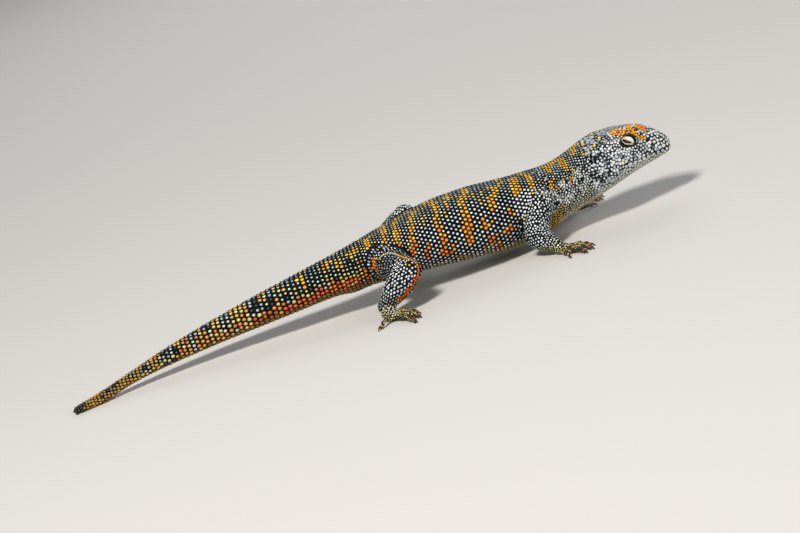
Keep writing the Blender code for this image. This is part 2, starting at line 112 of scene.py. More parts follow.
# Low swellings and hollows on both sides: centre x, y, z, reach, height
SWELLINGS = np.array([
    (162.9, 5.6, 21.4, 1.7, 0.35),
    (165.3, 5.3, 21.5, 1.8, 0.6),
    (167.9, 4.6, 20.9, 1.6, 0.5),
    (166.0, 6.0, 16.2, 1.8, 0.3),
    (170.6, 5.0, 17.6, 2.0, -0.4),
    (174.4, 3.0, 17.0, 1.3, 0.2),
    (158.0, 8.6, 13.6, 3.6, 0.6),
    (161.0, 6.9, 20.4, 2.4, -0.3),
    (149.0, 7.5, 12.5, 3.2, -0.5),
    (136.5, 7.0, 17.0, 4.5, 0.6),
    (93.0, 6.5, 15.0, 4.5, 0.6),
    (83.5, 3.6, 6.6, 4.2, 1.0),
])

# Limbs: radii along the upper and the lower bone; length, half width and half height of the palm
# or sole; and for each digit its turn from the heading in degrees, its length and its radius
ARM_RADII = ((4.6, 4.15, 3.7, 3.2), (3.2, 3.2, 2.65, 1.9))
LEG_RADII = ((4.7, 4.35, 3.9, 3.4), (3.45, 4.0, 3.2, 2.0))
PALM = (4.6, 2.3, 1.4)
SOLE = (6.4, 2.3, 1.45)
FINGERS = ((-34, 3.9, 0.68), (-15, 5.6, 0.70), (0, 6.7, 0.70), (13, 6.5, 0.70), (38, 4.3, 0.66))
TOES = ((-36, 3.3, 0.78), (-18, 5.3, 0.82), (-5, 7.6, 0.85), (8, 9.6, 0.85), (78, 5.2, 0.78))
ARM = (True, ARM_RADII, PALM, FINGERS)
LEG = (False, LEG_RADII, SOLE, TOES)
Limb = namedtuple("Limb", "name root bend end heading arm radii paddle digits")
LIMBS = (
    Limb("hand_right", (137.2, -6.2, 12.0), (132.9, -13.4, 5.1), (137.2, -18.6, 2.8), -42, *ARM),
    Limb("hand_left", (137.0, 6.5, 11.5), (136.2, 16.6, 9.8), (145.0, 16.2, 3.1), 16, *ARM),
    Limb("foot_right", (93.0, -4.5, 11.3), (98.3, -18.0, 9.9), (88.6, -19.2, 3.3), -55, *LEG),
    Limb("foot_left", (93.0, 4.5, 11.8), (102.3, 15.6, 15.9), (94.3, 17.0, 3.3), 24, *LEG),
)
LEGS = LIMBS[2:]
KNUCKLES = (0.62, 0.8, 0.86, 0.84, 0.6)
FINGER_ARCH = 0.95
CLAW_LENGTH = 1.7
CLAW_RADIUS = 0.36

# Skin: the remesh's voxel, how deep the scales sink it, and the grooves round the limbs
VOXEL = 0.4
COAT = 0.30
HEAD_COAT = 0.2
DIGIT_COAT = 0.12
GROOVE = 0.6
EYE_CUP = 0.71
EYE_CUP_DEPTH = 1.9


def eye_place():
    low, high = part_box("eye_right")
    return (Vector(low) + Vector(high)) / 2 / MM


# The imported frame's origin in the working frame, found from the right eye's place in both
MIDDLE = np.array((EYE.x, -EYE.y, EYE.z)) - np.array(eye_place())
MIDDLE[2] = 0.0


# Curves and sections

def smooth_value(xs, ys, x):
    """The value at x of a smooth curve through the points, which stays between neighbours."""
    if x <= xs[0]:
        return ys[0]
    if x >= xs[-1]:
        return ys[-1]
    i = max(j for j in range(len(xs) - 1) if xs[j] <= x)
    slopes = [(ys[j + 1] - ys[j]) / (xs[j + 1] - xs[j]) for j in range(len(xs) - 1)]

    def tangent(j):
        if j in (0, len(xs) - 1):
            return slopes[min(j, len(slopes) - 1)]
        before, after = slopes[j - 1], slopes[j]
        return 0.0 if before * after <= 0 else 2 * before * after / (before + after)

    width = xs[i + 1] - xs[i]
    t = (x - xs[i]) / width
    near = (1 + 2 * t) * (1 - t) ** 2 * ys[i] + t * (1 - t) ** 2 * width * tangent(i)
    far = t * t * (3 - 2 * t) * ys[i + 1] + t * t * (t - 1) * width * tangent(i + 1)
    return near + far


FINE_X = np.arange(0.0, LENGTH + 0.3, 0.2)
PROFILES = [
    np.array([smooth_value(SECTIONS[:, 0], SECTIONS[:, k], x) for x in FINE_X])
    for k in range(1, 5)
]


def section(x):
    """Top, bottom, half width and offset to the side of the body at x."""
    return [np.interp(x, FINE_X, profile) for profile in PROFILES]


def swollen(points):
    """The points moved out from the body's axis by the swellings near them."""
    side = np.where(points[:, 1] < 0, -1.0, 1.0)
    near = points * np.stack([np.ones_like(side), side, np.ones_like(side)], 1)
    top, bottom, _, _ = section(near[:, 0])
    outward = near - np.stack([near[:, 0], np.zeros(len(near)), (top + bottom) / 2], 1)
    outward /= np.maximum(np.linalg.norm(outward, axis=1, keepdims=True), 1e-6)
    push = np.zeros(len(near))
    for x, y, z, reach, height in SWELLINGS:
        away = np.linalg.norm(near - (x, y, z), axis=1)
        push += height * np.exp(-(away / reach) ** 2)
    near = near + outward * push[:, None]
    near[:, 1] *= side
    return near


def body_points(x, turn, shrink=1.0):
    """Points on the body's surface at x, turned round the axis, as arrays."""
    top, bottom, half_width, aside = section(x)
    waist = bottom + WAIST * (top - bottom)
    across, up = np.cos(turn), np.sin(turn)
    power = np.where(up > 0, UPPER_POWER, LOWER_POWER)
    reach = np.where(up > 0, top - waist, waist - bottom)
    y = np.sign(across) * np.abs(across) ** (2 / power) * half_width
    z = waist + np.sign(up) * np.abs(up) ** (2 / power) * reach
    points = swollen(np.stack([x, y, z], 1))
    centre = np.stack([x, np.zeros_like(x), (top + bottom) / 2], 1)
    points = centre + (points - centre) * shrink
    points[:, 1] += aside
    return points


def body_angle(points):
    """The angle round the body in degrees: 0 at the side, 90 on the back, -90 on the belly."""
    top, bottom, _, aside = section(points[:, 0])
    across = np.abs(points[:, 1] - aside)
    return np.degrees(np.arctan2(points[:, 2] - (top + bottom) / 2, across))


def step(low, high, value):
    """0 below low, 1 above high, and smooth between them."""
    t = np.clip((value - low) / (high - low), 0.0, 1.0)
    return t * t * (3 - 2 * t)


# Meshes

def linked(name, data):
    """A new object of the scene with the data."""
    obj = bpy.data.objects.new(name, data)
    bpy.context.scene.collection.objects.link(obj)
    return obj


def finished(obj, material):
    """A piece with its material, on the one body of the still model."""
    obj.data.materials.append(material)
    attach(obj, "root")
    return obj


def packed(points):
    """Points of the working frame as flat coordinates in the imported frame, in metres."""
    return ((np.asarray(points) - MIDDLE) * MM).astype(np.float32).ravel()


def mesh_object(name, points, quads, triangles=()):
    """A smooth-shaded object from arrays in the working frame."""
    parts, starts, count = [], [], 0
    for faces, corners in ((quads, 4), (triangles, 3)):
        faces = np.asarray(faces, dtype=np.int32)
        parts.append(faces.ravel())
        starts.append(count + np.arange(len(faces), dtype=np.int32) * corners)
        count += faces.size
    data = bpy.data.meshes.new(name)
    data.vertices.add(len(points))
    data.vertices.foreach_set("co", packed(points))
    loops = np.concatenate(parts)
    data.loops.add(len(loops))
    data.loops.foreach_set("vertex_index", loops)
    begin = np.concatenate(starts)
    data.polygons.add(len(begin))
    data.polygons.foreach_set("loop_start", begin)
    data.update(calc_edges=True)
    data.validate()
    data.shade_smooth()
    return linked(name, data)


def loft(name, rings, start=None, end=None):
    """A closed object through rings of points, shape rings x sides x 3."""
    rings = np.asarray(rings, dtype=float)
    count, sides = rings.shape[:2]
    first = rings[0].mean(0) if start is None else start
    last = rings[-1].mean(0) if end is None else end
    points = np.concatenate([rings.reshape(-1, 3), [first, last]])
    i = np.arange(sides)
    j = (i + 1) % sides
    rows = np.arange(count - 1)[:, None] * sides
    quads = np.stack([rows + i, rows + sides + i, rows + sides + j, rows + j], -1).reshape(-1, 4)
    low = np.stack([i, j, np.full(sides, count * sides)], 1)
    top = (count - 1) * sides
    high = np.stack([top + j, top + i, np.full(sides, count * sides + 1)], 1)
    obj = mesh_object(name, points, quads, np.concatenate([low, high]))
    mesh = bmesh.new()
    mesh.from_mesh(obj.data)
    bmesh.ops.recalc_face_normals(mesh, faces=mesh.faces)
    mesh.to_mesh(obj.data)
    mesh.free()
    return obj


def tube(name, centres, radii, sides, flatten=1.0):
    """A closed tube with round ends. flatten is its height as a share of its width."""
    centres = [Vector(c) for c in centres]
    rings = []
    last = len(centres) - 1
    for i, (centre, radius) in enumerate(zip(centres, radii)):
        along = (centres[min(i + 1, last)] - centres[max(i - 1, 0)]).normalized()
        side = along.cross(Vector((0, 0, 1)))
        side = side.normalized() if side.length > 1e-4 else Vector((0, 1, 0))
        up = side.cross(along)
        turns = [2 * math.pi * k / sides for k in range(sides)]
        rings.append([
            centre + side * radius * math.cos(t) + up * radius * flatten * math.sin(t)
            for t in turns
        ])
    ahead = (centres[-1] - centres[-2]).normalized() * 0.02
    behind = (centres[0] - centres[1]).normalized() * 0.02
    return loft(name, rings, centres[0] + behind, centres[-1] + ahead)


def ellipsoid(name, centre, half_size, rings=24, sides=36):
    layers = []
    for k in range(1, rings):
        angle = math.pi * k / rings
        turn = 2 * np.pi * np.arange(sides) / sides
        layers.append(np.stack([
            centre[0] + half_size[0] * math.sin(angle) * np.cos(turn),
            np.full(sides, centre[1] - half_size[1] * math.cos(angle)),
            centre[2] + half_size[2] * math.sin(angle) * np.sin(turn),
        ], 1))
    pole = np.array((0.0, half_size[1], 0.0))
    return loft(name, layers, np.array(centre) - pole, np.array(centre) + pole)


# Body, limbs and digits as fine closed forms

def mirrored(point, side):
    return Vector((point[0], side * point[1], point[2]))


def body_form():
    """Tail, trunk and head as one closed loft, drawn in at the tail's tip and the snout."""
    sides = 110
    turn = 2 * np.pi * (np.arange(sides) + 0.5) / sides
    first = SECTIONS[0, 0]
    rings = [body_points(np.full(sides, share * first), turn, size)
             for share, size in ((0.05, 0.45), (0.35, 0.78))]
    rings += [body_points(np.full(sides, x), turn) for x in np.arange(first, LENGTH - 0.4, 0.6)]
    for back, size in ((0.4, 1.0), (0.27, 0.88), (0.18, 0.72), (0.08, 0.5), (0.04, 0.36)):
        rings.append(body_points(np.full(sides, LENGTH - back), turn, size))
    return loft("body_form", rings)


def head_side(x, z):
    """How far out the left side of the head reaches at a height."""
    turn = np.radians(np.linspace(-89, 89, 179))
    ring = body_points(np.full(179, float(x)), turn)
    return float(np.interp(z, ring[:, 2], ring[:, 1]))


def mouth_height(x):
    """Height of the mouth's line at x."""
    xs, heights = zip(*MOUTH_HEIGHTS)
    return smooth_value(xs, heights, x)


def mouth_path():
    """Points along the left half of the mouth's line, on the surface, from its corner forwards."""
    xs = list(np.arange(MOUTH_CORNER_X - 0.6, LENGTH - 2.6, 0.7))
    xs += [LENGTH - back for back in (2.6, 2.1, 1.6, 1.2, 0.9)]
    return [Vector((x, head_side(x, z), z)) for x, z in ((x, mouth_height(x)) for x in xs)]


def lips_form():
    """A thin swelling along the line of the mouth, from corner to corner round the snout."""
    left = []
    path = mouth_path()
    for i, point in enumerate(path):
        ahead = path[min(i + 1, len(path) - 1)] - path[max(i - 1, 0)]
        inward = Vector((ahead.y, -ahead.x, 0.0)).normalized()
        left.append(point + inward * LIP_SUNK)
    front = Vector((LENGTH - LIP_RADIUS, 0.0, left[-1].z))
    right = [mirrored(p, -1) for p in reversed(left)]
    radii = [LIP_RADIUS * min(1.0, 0.3 + 0.17 * i) for i in range(len(left))]
    return tube("lips_form", left + [front] + right, radii + [LIP_RADIUS] + radii[::-1], 14)


def bone(limb, part):
    """The ends and the radii of a limb's upper bone, 0, or its lower one, 1."""
    ends = (limb.root, limb.bend, limb.end)
    return ends[part], ends[part + 1], limb.radii[part]


def bone_path(start, end, radii):
    """Centres and radii along a bone, with a round end each way."""
    start, end = Vector(start), Vector(end)
    length = (end - start).length
    along = (end - start) / length
    caps = (18, 36, 52, 68, 84)
    centres, sizes = [], []
    for angle in caps[::-1]:
        centres.append(start - along * radii[0] * math.sin(math.radians(angle)))
        sizes.append(radii[0] * math.cos(math.radians(angle)))
    shares = [i / (len(radii) - 1) for i in range(len(radii))]
    for i in range(15):
        centres.append(start + along * length * i / 14)
        sizes.append(smooth_value(shares, radii, i / 14))
    for angle in caps:
        centres.append(end + along * radii[-1] * math.sin(math.radians(angle)))
        sizes.append(radii[-1] * math.cos(math.radians(angle)))
    return centres, sizes


def heading_of(degrees):
    turn = math.radians(degrees)
    return Vector((math.cos(turn), math.sin(turn), 0.0))


def paddle_form(limb):
    """The palm or sole: flat, widest at the knuckles, thicker at the wrist."""
    length, half_width, half_height = limb.paddle
    heading = heading_of(limb.heading)
    shares = (-0.22, -0.1, 0.15, 0.45, 0.75, 0.95, 1.08)
    widths = (0.45, 0.68, 0.78, 0.88, 1.0, 0.92, 0.6)
    thick = (0.7, 1.15, 1.2, 1.08, 0.95, 0.8, 0.5)
    side = Vector((-heading.y, heading.x, 0.0))
    base = Vector((limb.end[0], limb.end[1], 0.0))
    rings = []
    for k in range(19):
        share = shares[0] + (shares[-1] - shares[0]) * k / 18
        width = smooth_value(shares, widths, share)
        height = smooth_value(shares, thick, share)
        centre = base + heading * length * share
        centre.z = half_height * height * 0.9
        rings.append([
            centre + side * half_width * width * math.cos(t)
            + Vector((0, 0, 1)) * half_height * height * math.sin(t)
            for t in (2 * math.pi * i / 28 for i in range(28))
        ])
    return loft("paddle_form", rings)


def digit_path(limb, index, share):
    """Centre, radius and direction of a digit at a share of its length."""
    turn, length, size = limb.digits[index]
    outward = 1 if limb.root[1] > 0 else -1
    heading = heading_of(limb.heading)
    along = Matrix.Rotation(math.radians(outward * turn), 3, "Z") @ heading
    side = Vector((-heading.y, heading.x, 0.0))
    knuckle = Vector((limb.end[0], limb.end[1], 0.0))
    knuckle += side * outward * (index - 2) * limb.paddle[1] * 0.37
    knuckle += heading * limb.paddle[0] * KNUCKLES[index]
    inside = min(max(share, 0.0), 1.0)
    radius = size * (1.0 - 0.28 * inside) * (1.0 + 0.1 * math.cos(share * 6 * math.pi))
    point = knuckle + along * length * share
    point.z = radius * 0.9 + FINGER_ARCH * math.sin(math.pi * inside) ** 2
    return point, radius, along


def digit_form(limb, index):
    centres, radii = [], []
    for share in (-0.08, 0.0, 0.08, 0.16, 0.25, 0.33, 0.42, 0.5, 0.58, 0.67, 0.75, 0.83, 0.9, 0.96):
        point, radius, _ = digit_path(limb, index, share)
        centres.append(point)
        radii.append(radius)
    point, radius, _ = digit_path(limb, index, 1.0)
    centres.append(point)
    radii.append(radius * 0.6)
    return tube("digit_form", centres, radii, 16)


# Skin: the forms run together, smoothed, sunk by the depth of the coat, then given its hollows

def merged(name, objects):
    """One object with the meshes of all the objects, which are removed."""
    mesh = bmesh.new()
    for obj in objects:
        mesh.from_mesh(obj.data)
    data = bpy.data.meshes.new(name)
    mesh.to_mesh(data)
    mesh.free()
    for obj in objects:
        bpy.data.objects.remove(obj)
    return linked(name, data)


def remeshed(objects):
    """The mesh of the objects run together by a voxel remesh."""
    whole = merged("joined", objects)
    remesh = whole.modifiers.new("remesh", "REMESH")
    remesh.mode = "VOXEL"
    remesh.voxel_size = VOXEL * MM
    bpy.context.view_layer.update()
    graph = bpy.context.evaluated_depsgraph_get()
    result = bpy.data.meshes.new_from_object(whole.evaluated_get(graph))
    bpy.data.objects.remove(whole)
    return result


def keep_largest(data):
    """Deletes all but the largest connected part of a mesh."""
    mesh = bmesh.new()
    mesh.from_mesh(data)
    unseen = set(mesh.verts)
    groups = []
    while unseen:
        group, edge = [], [unseen.pop()]
        while edge:
            vert = edge.pop()
            group.append(vert)
            for link in vert.link_edges:
                other = link.other_vert(vert)
                if other in unseen:
                    unseen.remove(other)
                    edge.append(other)
        groups.append(group)
    largest = max(groups, key=len)
    loose = [v for group in groups if group is not largest for v in group]
    bmesh.ops.delete(mesh, geom=loose, context="VERTS")
    mesh.to_mesh(data)
    mesh.free()


def read_mesh(data):
    """A mesh's points in the working frame, and its edges."""
    points = np.empty(len(data.vertices) * 3)
    data.vertices.foreach_get("co", points)
    edges = np.empty(len(data.edges) * 2, dtype=np.int64)
    data.edges.foreach_get("vertices", edges)
    return points.reshape(-1, 3) / MM + MIDDLE, edges.reshape(-1, 2)


def write_points(data, points):
    data.vertices.foreach_set("co", packed(points))
    data.update()


def normals_of(data):
    normals = np.empty(len(data.vertices) * 3, dtype=np.float32)
    data.vertex_normals.foreach_get("vector", normals)
    return normals.reshape(-1, 3).astype(float)


def smoothed(points, edges, weight, times):
    """The points drawn towards the mean of their neighbours, by a weight for each."""
    count = len(points)
    degree = np.bincount(edges.ravel(), minlength=count)[:, None]
    for _ in range(times):
        total = np.stack([
            np.bincount(edges[:, 0], points[edges[:, 1], k], count)
            + np.bincount(edges[:, 1], points[edges[:, 0], k], count)
            for k in range(3)
        ], 1)
        points = points + (total / degree - points) * weight[:, None]
    return points


def segment_distance(points, start, end):
    """Distance to a segment, and the share of its length where the nearest place lies."""
    start, end = np.array(start), np.array(end)
    way = end - start
    share = np.clip(((points - start) @ way) / (way @ way), 0.0, 1.0)
    return np.linalg.norm(points - start - share[:, None] * way, axis=1), share


def digit_mask(points):
    """1 on the digits and 0 elsewhere."""
    mask = np.zeros(len(points))
    for limb in LIMBS:
        for index in range(5):
            start, _, _ = digit_path(limb, index, 0.25)
            end, _, _ = digit_path(limb, index, 1.0)
            away, _ = segment_distance(points, start, end)
            mask = np.maximum(mask, 1 - step(1.3, 2.0, away))
    return mask


def crease_mask(points):
    """1 where a limb leaves the body or bends, where the skin runs on in soft folds."""
    mask = np.zeros(len(points))
    for limb in LIMBS:
        root, bend = np.array(limb.root), np.array(limb.bend)
        way = bend - root
        share = (section(root[0])[2] - abs(root[1])) / max(abs(way[1]), 1e-3)
        reach = 5.4 if limb.arm else 6.0
        creases = ((root + way * share, reach * 0.8, reach * 1.25, 1.0), (bend, 2.6, 4.6, 0.7),
                   (np.array(limb.end), 2.0, 3.4, 0.7))
        for centre, inner, outer, strength in creases:
            away = np.linalg.norm(points - centre, axis=1)
            mask = np.maximum(mask, strength * (1 - step(inner, outer, away)))
    return mask


def limb_gap(points, limb):
    """Distance to the surface of a limb's upper bone."""
    start, end, radii = bone(limb, 0)
    away, share = segment_distance(points, start, end)
    return away - np.interp(share, np.linspace(0, 1, len(radii)), radii)


def groove_mask(points, body):
    """1 in the grooves where the limbs leave the body, 0 away from them and over the shoulders."""
    mask = np.zeros(len(points))
    from_body = np.array([body.find_nearest(tuple(p))[3] for p in points])
    at_body = np.exp(-(np.clip(from_body - 0.5, 0, 9) / 0.7) ** 2)
    for limb in LIMBS:
        gap = np.abs(limb_gap(points, limb) - 0.3) - 0.2
        near = np.exp(-(np.clip(gap, 0, 9) / 0.75) ** 2) * at_body
        if limb.arm:
            near *= 1 - step(9.5, 14.0, points[:, 2])
        mask = np.maximum(mask, near)
    return mask


def surface(obj):
    """A tree that finds the nearest place on an object, with its points and faces."""
    points, _ = read_mesh(obj.data)
    faces = [tuple(face.vertices) for face in obj.data.polygons]
    return BVHTree.FromPolygons([tuple(p) for p in points], faces), points, faces


def body_tree():
    """The body without its limbs, as a tree that finds the nearest place on it."""
    obj = body_form()
    tree, _, _ = surface(obj)
    bpy.data.objects.remove(obj)
    return tree


def eye_share(points):
    """Elliptic distance from the middle of an eye in side view: 1 on the rim of the lids."""
    across = (points[:, 0] - EYE.x) / LIDS.x
    up = (points[:, 2] - EYE.z) / LIDS.z
    share = np.hypot(across, up)
    return np.where(np.abs(points[:, 1]) > 3.0, share, 9.0)


def mouth_gap(points):
    """Height above the line of the mouth, where there is a mouth, else far."""
    xs, heights = zip(*MOUTH_HEIGHTS)
    line = np.interp(points[:, 0], xs, heights)
    return np.where(points[:, 0] > MOUTH_CORNER_X - 0.3, points[:, 2] - line, 9.0)


def ear_share(points):
    """Elliptic distance from the middle of an ear's opening in side view: 1 on its rim."""
    lean = (points[:, 2] - EAR.z) * 0.22
    share = np.hypot((points[:, 0] - EAR.x - lean) / 0.55, (points[:, 2] - EAR.z) / 1.6)
    return np.where(np.abs(points[:, 1]) > 4.0, share, 9.0)


def nostril_share(points):
    """Distance from the middle of a nostril: 1 on its rim."""
    near = points.copy()
    near[:, 1] = np.abs(near[:, 1])
    return np.linalg.norm(near - np.array(NOSTRIL), axis=1) / 0.5


# Folds of the neck and the throat: x where the fold crosses the side, lean, depth, width
FOLDS = ((152.2, 0.05, 0.30, 0.7), (149.6, 0.04, 0.42, 0.6), (146.9, 0.035, 0.5, 0.65),
         (144.3, 0.02, 0.42, 0.6), (141.4, 0.0, 0.5, 0.7))


def sculpt(points, normals):
    """The hollows and folds of the skin."""
    angle = body_angle(points)
    x = points[:, 0]
    on_body = np.abs(points[:, 1]) < section(x)[2] + 1.0
    push = np.zeros(len(points))
    wave = 0.35 * np.sin(angle * 0.13 + x * 0.4)
    strength = step(-80, -45, angle) * (1 - step(28, 55, angle))
    for fold, lean, depth, width in FOLDS:
        line = fold + lean * angle + wave
        push -= depth * strength * np.exp(-((x - line) / width) ** 2) * on_body
    push += 0.14 * on_body * step(135, 142, x) * (1 - step(153, 157, x)) * (1 - step(20, 60, angle))
    fade = step(MOUTH_CORNER_X - 0.2, MOUTH_CORNER_X + 1.2, x)
    push -= 0.5 * fade * np.exp(-(mouth_gap(points) / 0.3) ** 2)
    ear = ear_share(points)
    push -= 1.5 * np.sqrt(np.clip(1 - ear ** 2, 0, 1))
    push += 0.12 * np.exp(-((ear - 1.25) / 0.25) ** 2)
    nostril = nostril_share(points)
    push -= 0.55 * np.sqrt(np.clip(1 - nostril ** 2, 0, 1))
    push += 0.1 * np.exp(-((nostril - 1.4) / 0.4) ** 2)
    eye = eye_share(points)
    push -= 0.1 * np.exp(-((eye - 0.98) / 0.12) ** 2)
    push -= GROOVE * groove_mask(points, body_tree())
    points = points + normals * push[:, None]
    depth = EYE_CUP_DEPTH * np.sqrt(np.clip(1 - (eye / EYE_CUP) ** 2, 0, 1)) ** 0.6
    inward = points[:, 1] - np.sign(points[:, 1]) * depth
    points[:, 1] = np.where(eye < EYE_CUP, inward, points[:, 1])
    return points


def body_forms():
    """Body, lips, lids, bones, palms, soles and digits as closed forms."""
    forms = [body_form(), lips_form()]
    forms += [ellipsoid("lids_form", mirrored(EYE, side), LIDS) for side in (-1, 1)]
    for limb in LIMBS:
        forms += [tube("bone_form", *bone_path(*bone(limb, part)), 32) for part in (0, 1)]
        forms.append(paddle_form(limb))
        forms += [digit_form(limb, index) for index in range(5)]
    return forms


def coat_depth(points, digits):
    """How deep the skin lies below the solids' surface, which leaves room for the scales."""
    head = step(150, 156, points[:, 0])
    coat = COAT + (HEAD_COAT - COAT) * head
    coat = coat + (DIGIT_COAT - coat) * digits
    thin = 1 - step(2.0, 16.0, points[:, 0])
    return coat * (1 - 0.5 * thin)


def make_skin():
    data = remeshed(body_forms())
    keep_largest(data)
    points, edges = read_mesh(data)
    digits = digit_mask(points)
    points = smoothed(points, edges, 0.5 - 0.3 * digits, 2)
    points = smoothed(points, edges, 0.5 * crease_mask(points) * (1 - digits), 8)
    points[:, 2] = np.maximum(points[:, 2], 0.0)
    write_points(data, points)
    points = points - normals_of(data) * coat_depth(points, digits)[:, None]
    write_points(data, points)
    points = sculpt(points, normals_of(data))
    points[:, 2] = np.maximum(points[:, 2], 0.02)
    write_points(data, points)
    data.shade_smooth()
    return linked("skin", data)


class Ground:
    """The skin as a surface that scales are set on."""

    def __init__(self, obj):
        self.tree, self.points, faces = surface(obj)
        corners = np.array([f for f in faces if len(f) == 4])
        self.triangles = np.concatenate([corners[:, [0, 1, 2]], corners[:, [0, 2, 3]]])

    def nearest(self, points):
        """Nearest places on the skin, the normals there, and the distances."""
        spots = np.empty((len(points), 3))
        normals = np.empty((len(points), 3))
        away = np.empty(len(points))
        for i, point in enumerate(points):
            spot, normal, _, distance = self.tree.find_nearest(point)
            spots[i], normals[i], away[i] = spot, normal, distance
        return spots, normals, away

    def scattered(self, count):
        """Points spread over the skin by area."""
        a, b, c = (self.points[self.triangles[:, k]] for k in range(3))
        area = np.linalg.norm(np.cross(b - a, c - a), axis=1)
        pick = RANDOM.choice(len(area), count, p=area / area.sum())
        u, v = RANDOM.random(count), RANDOM.random(count)
        flip = u + v > 1
        u, v = np.where(flip, 1 - u, u), np.where(flip, 1 - v, v)
        return a[pick] + (b - a)[pick] * u[:, None] + (c - a)[pick] * v[:, None]


# Where the scales stand: rows along the body, limbs, lips and lids, then scattered ones between

BODY, TAIL_PART, HEAD_PART, LIMB_PART, DIGIT_PART = range(5)
BACKWARDS = (-1.0, 0.0, 0.0)
DOWN_AND_BACK = (-0.45, 0.0, -1.0)
TRUNK_ROWS = (88.2, 152.6)
# From here forwards the side of the neck bears scattered granules in place of rows
NECK_SIDE = 137
# Rows on an upper and a lower bone: pitch, crowding round the bone, step between rows in pitches
ARM_ROWS = ((0.92, 0.8, 0.88), (0.88, 0.86, 0.88))
LEG_ROWS = ((0.98, 1.1, 1.3), (0.98, 0.86, 0.88))
KNEE_PITCH = 0.74
# Rows on a digit, and the places of a row's plates in degrees round it, from one side over the top
DIGIT_PITCH = 0.62
DIGIT_RING = (90, 28, 152, -28, -152, -70, -110)
# The two rows of the lips: height over the mouth's line, plate's length, start of the first plate
LIP_ROWS = ((0.72, 1.3, 0.2), (-0.72, 1.45, 0.8))
# Rings of granules round the lids: share of the lids' size, and number of granules
LID_RINGS = ((0.76, 26), (0.93, 26))
# Scattered scales: tries, the room that each keeps in pitches, the side of the search's cells,
# and how often they shift to even out
TRIES = 90000
ROOM = 0.84
CELL = 1.2
RELAX_TIMES = 8
NEIGHBOURS = [(x, y, z) for x in (-1, 0, 1) for y in (-1, 0, 1) for z in (-1, 0, 1)]


def lengths_along(line):
    """The length along a line of points up to each of them."""
    return np.concatenate([[0], np.cumsum(np.linalg.norm(np.diff(line, axis=0), axis=1))])


def places_along(line, wanted):
    """The places at the wanted lengths along a line of points."""
    length = lengths_along(line)
    return np.stack([np.interp(wanted, length, line[:, k]) for k in range(3)], 1)


def ring_at_equal_steps(x, count, offset):
    """Points round the body at x, equally spaced from the middle of the back."""
    turn = np.pi / 2 + 2 * np.pi * np.arange(361) / 360
    ring = body_points(np.full(len(turn), x), turn)
    return places_along(ring, (np.arange(count) + offset) / count * lengths_along(ring)[-1])


def perimeter(x):
    top, bottom, half_width, _ = section(x)
    return 2 * math.pi * math.sqrt((half_width ** 2 + ((top - bottom) / 2) ** 2) / 2)


def trunk_rows():
    """Staggered rows round the trunk and the neck, and the pitch of each scale."""
    points, pitches = [], []
    (x, last), row = TRUNK_ROWS, 0
    while x < last:
        count = 46 if x < 97 else 54 if x < 141 else 58
        across = perimeter(x) / count
        ring = ring_at_equal_steps(x, count, 0.5 * (row % 2))
        angle = body_angle(ring)
        limit = 20 + 0.8 * (x - NECK_SIDE)
        keep = np.ones(count, dtype=bool) if x < NECK_SIDE else (angle > limit) | (angle < -62)
        ring += RANDOM.normal(0, 0.04 * across, ring.shape)
        points.append(ring[keep])
        pitches += [across] * int(keep.sum())
        x += max(0.72, 0.86 * across)
        row += 1
    return np.concatenate(points), np.array(pitches)


def tail_length(x):
    """Length of the tail's scales, largest in its front half."""
    return np.interp(x, (0, 20, 42, 62, 78, 90), (0.85, 1.15, 1.45, 1.55, 1.3, 1.05))


def tail_rows():
    """Whorls round the tail, and the length of each scale."""
    points, pitches = [], []
    x, row = 87.2, 0
    while x > 0.5:
        length = float(tail_length(x))
        count = max(8, 2 * round(perimeter(x) / (0.84 * length) / 2))
        ring = ring_at_equal_steps(x, count, 0.5 * (row % 2))
        points.append(ring + RANDOM.normal(0, 0.04 * length, ring.shape))
        pitches += [length] * count
        x -= length * 0.95
        row += 1
    return np.concatenate(points), np.array(pitches)


def limb_rows(limb, part):
    """Staggered rows round one bone: places, ways out, pitch, and the way to its far end."""
    start, end, radii = bone(limb, part)
    pitch, crowding, rise = (ARM_ROWS if limb.arm else LEG_ROWS)[part]
    start, end = Vector(start), Vector(end)
    length = (end - start).length
    along = (end - start) / length
    side = along.cross(Vector((0, 0, 1))).normalized()
    up = side.cross(along)
    shares = [i / (len(radii) - 1) for i in range(len(radii))]
    count = round(round(2 * math.pi * max(radii) / pitch) * crowding)
    points, outward = [], []
    s, row = 0.0, 0
    while s < length + 0.6 * radii[-1]:
        radius = smooth_value(shares, radii, min(s / length, 1.0))
        for k in range(count):
            turn = 2 * math.pi * (k + 0.5 * (row % 2) + RANDOM.normal(0, 0.12)) / count
            way = side * math.cos(turn) + up * math.sin(turn)
            points.append(start + along * (s + RANDOM.normal(0, 0.1)) + way * radius)
            outward.append(way)
        s += rise * pitch
        row += 1
    return np.array(points), np.array(outward), pitch, np.array(along)


def digit_rows(limb, index):
    """Rings of scales round a digit: one broad plate on top, two on each side, two below."""
    points, ways = [], []
    count = round(limb.digits[index][1] / DIGIT_PITCH)
    for row in range(count + 1):
        centre, radius, along = digit_path(limb, index, 0.1 + 0.84 * row / count)
        side = along.cross(Vector((0, 0, 1))).normalized()
        for degrees in DIGIT_RING:
            turn = math.radians(degrees)
            way = side * math.cos(turn) + Vector((0, 0, 1)) * math.sin(turn)
            points.append(centre + way * radius + along * (0.1 if degrees == 90 else -0.12))
            ways.append(way)
    return np.array(points), np.array(ways), np.array(along)


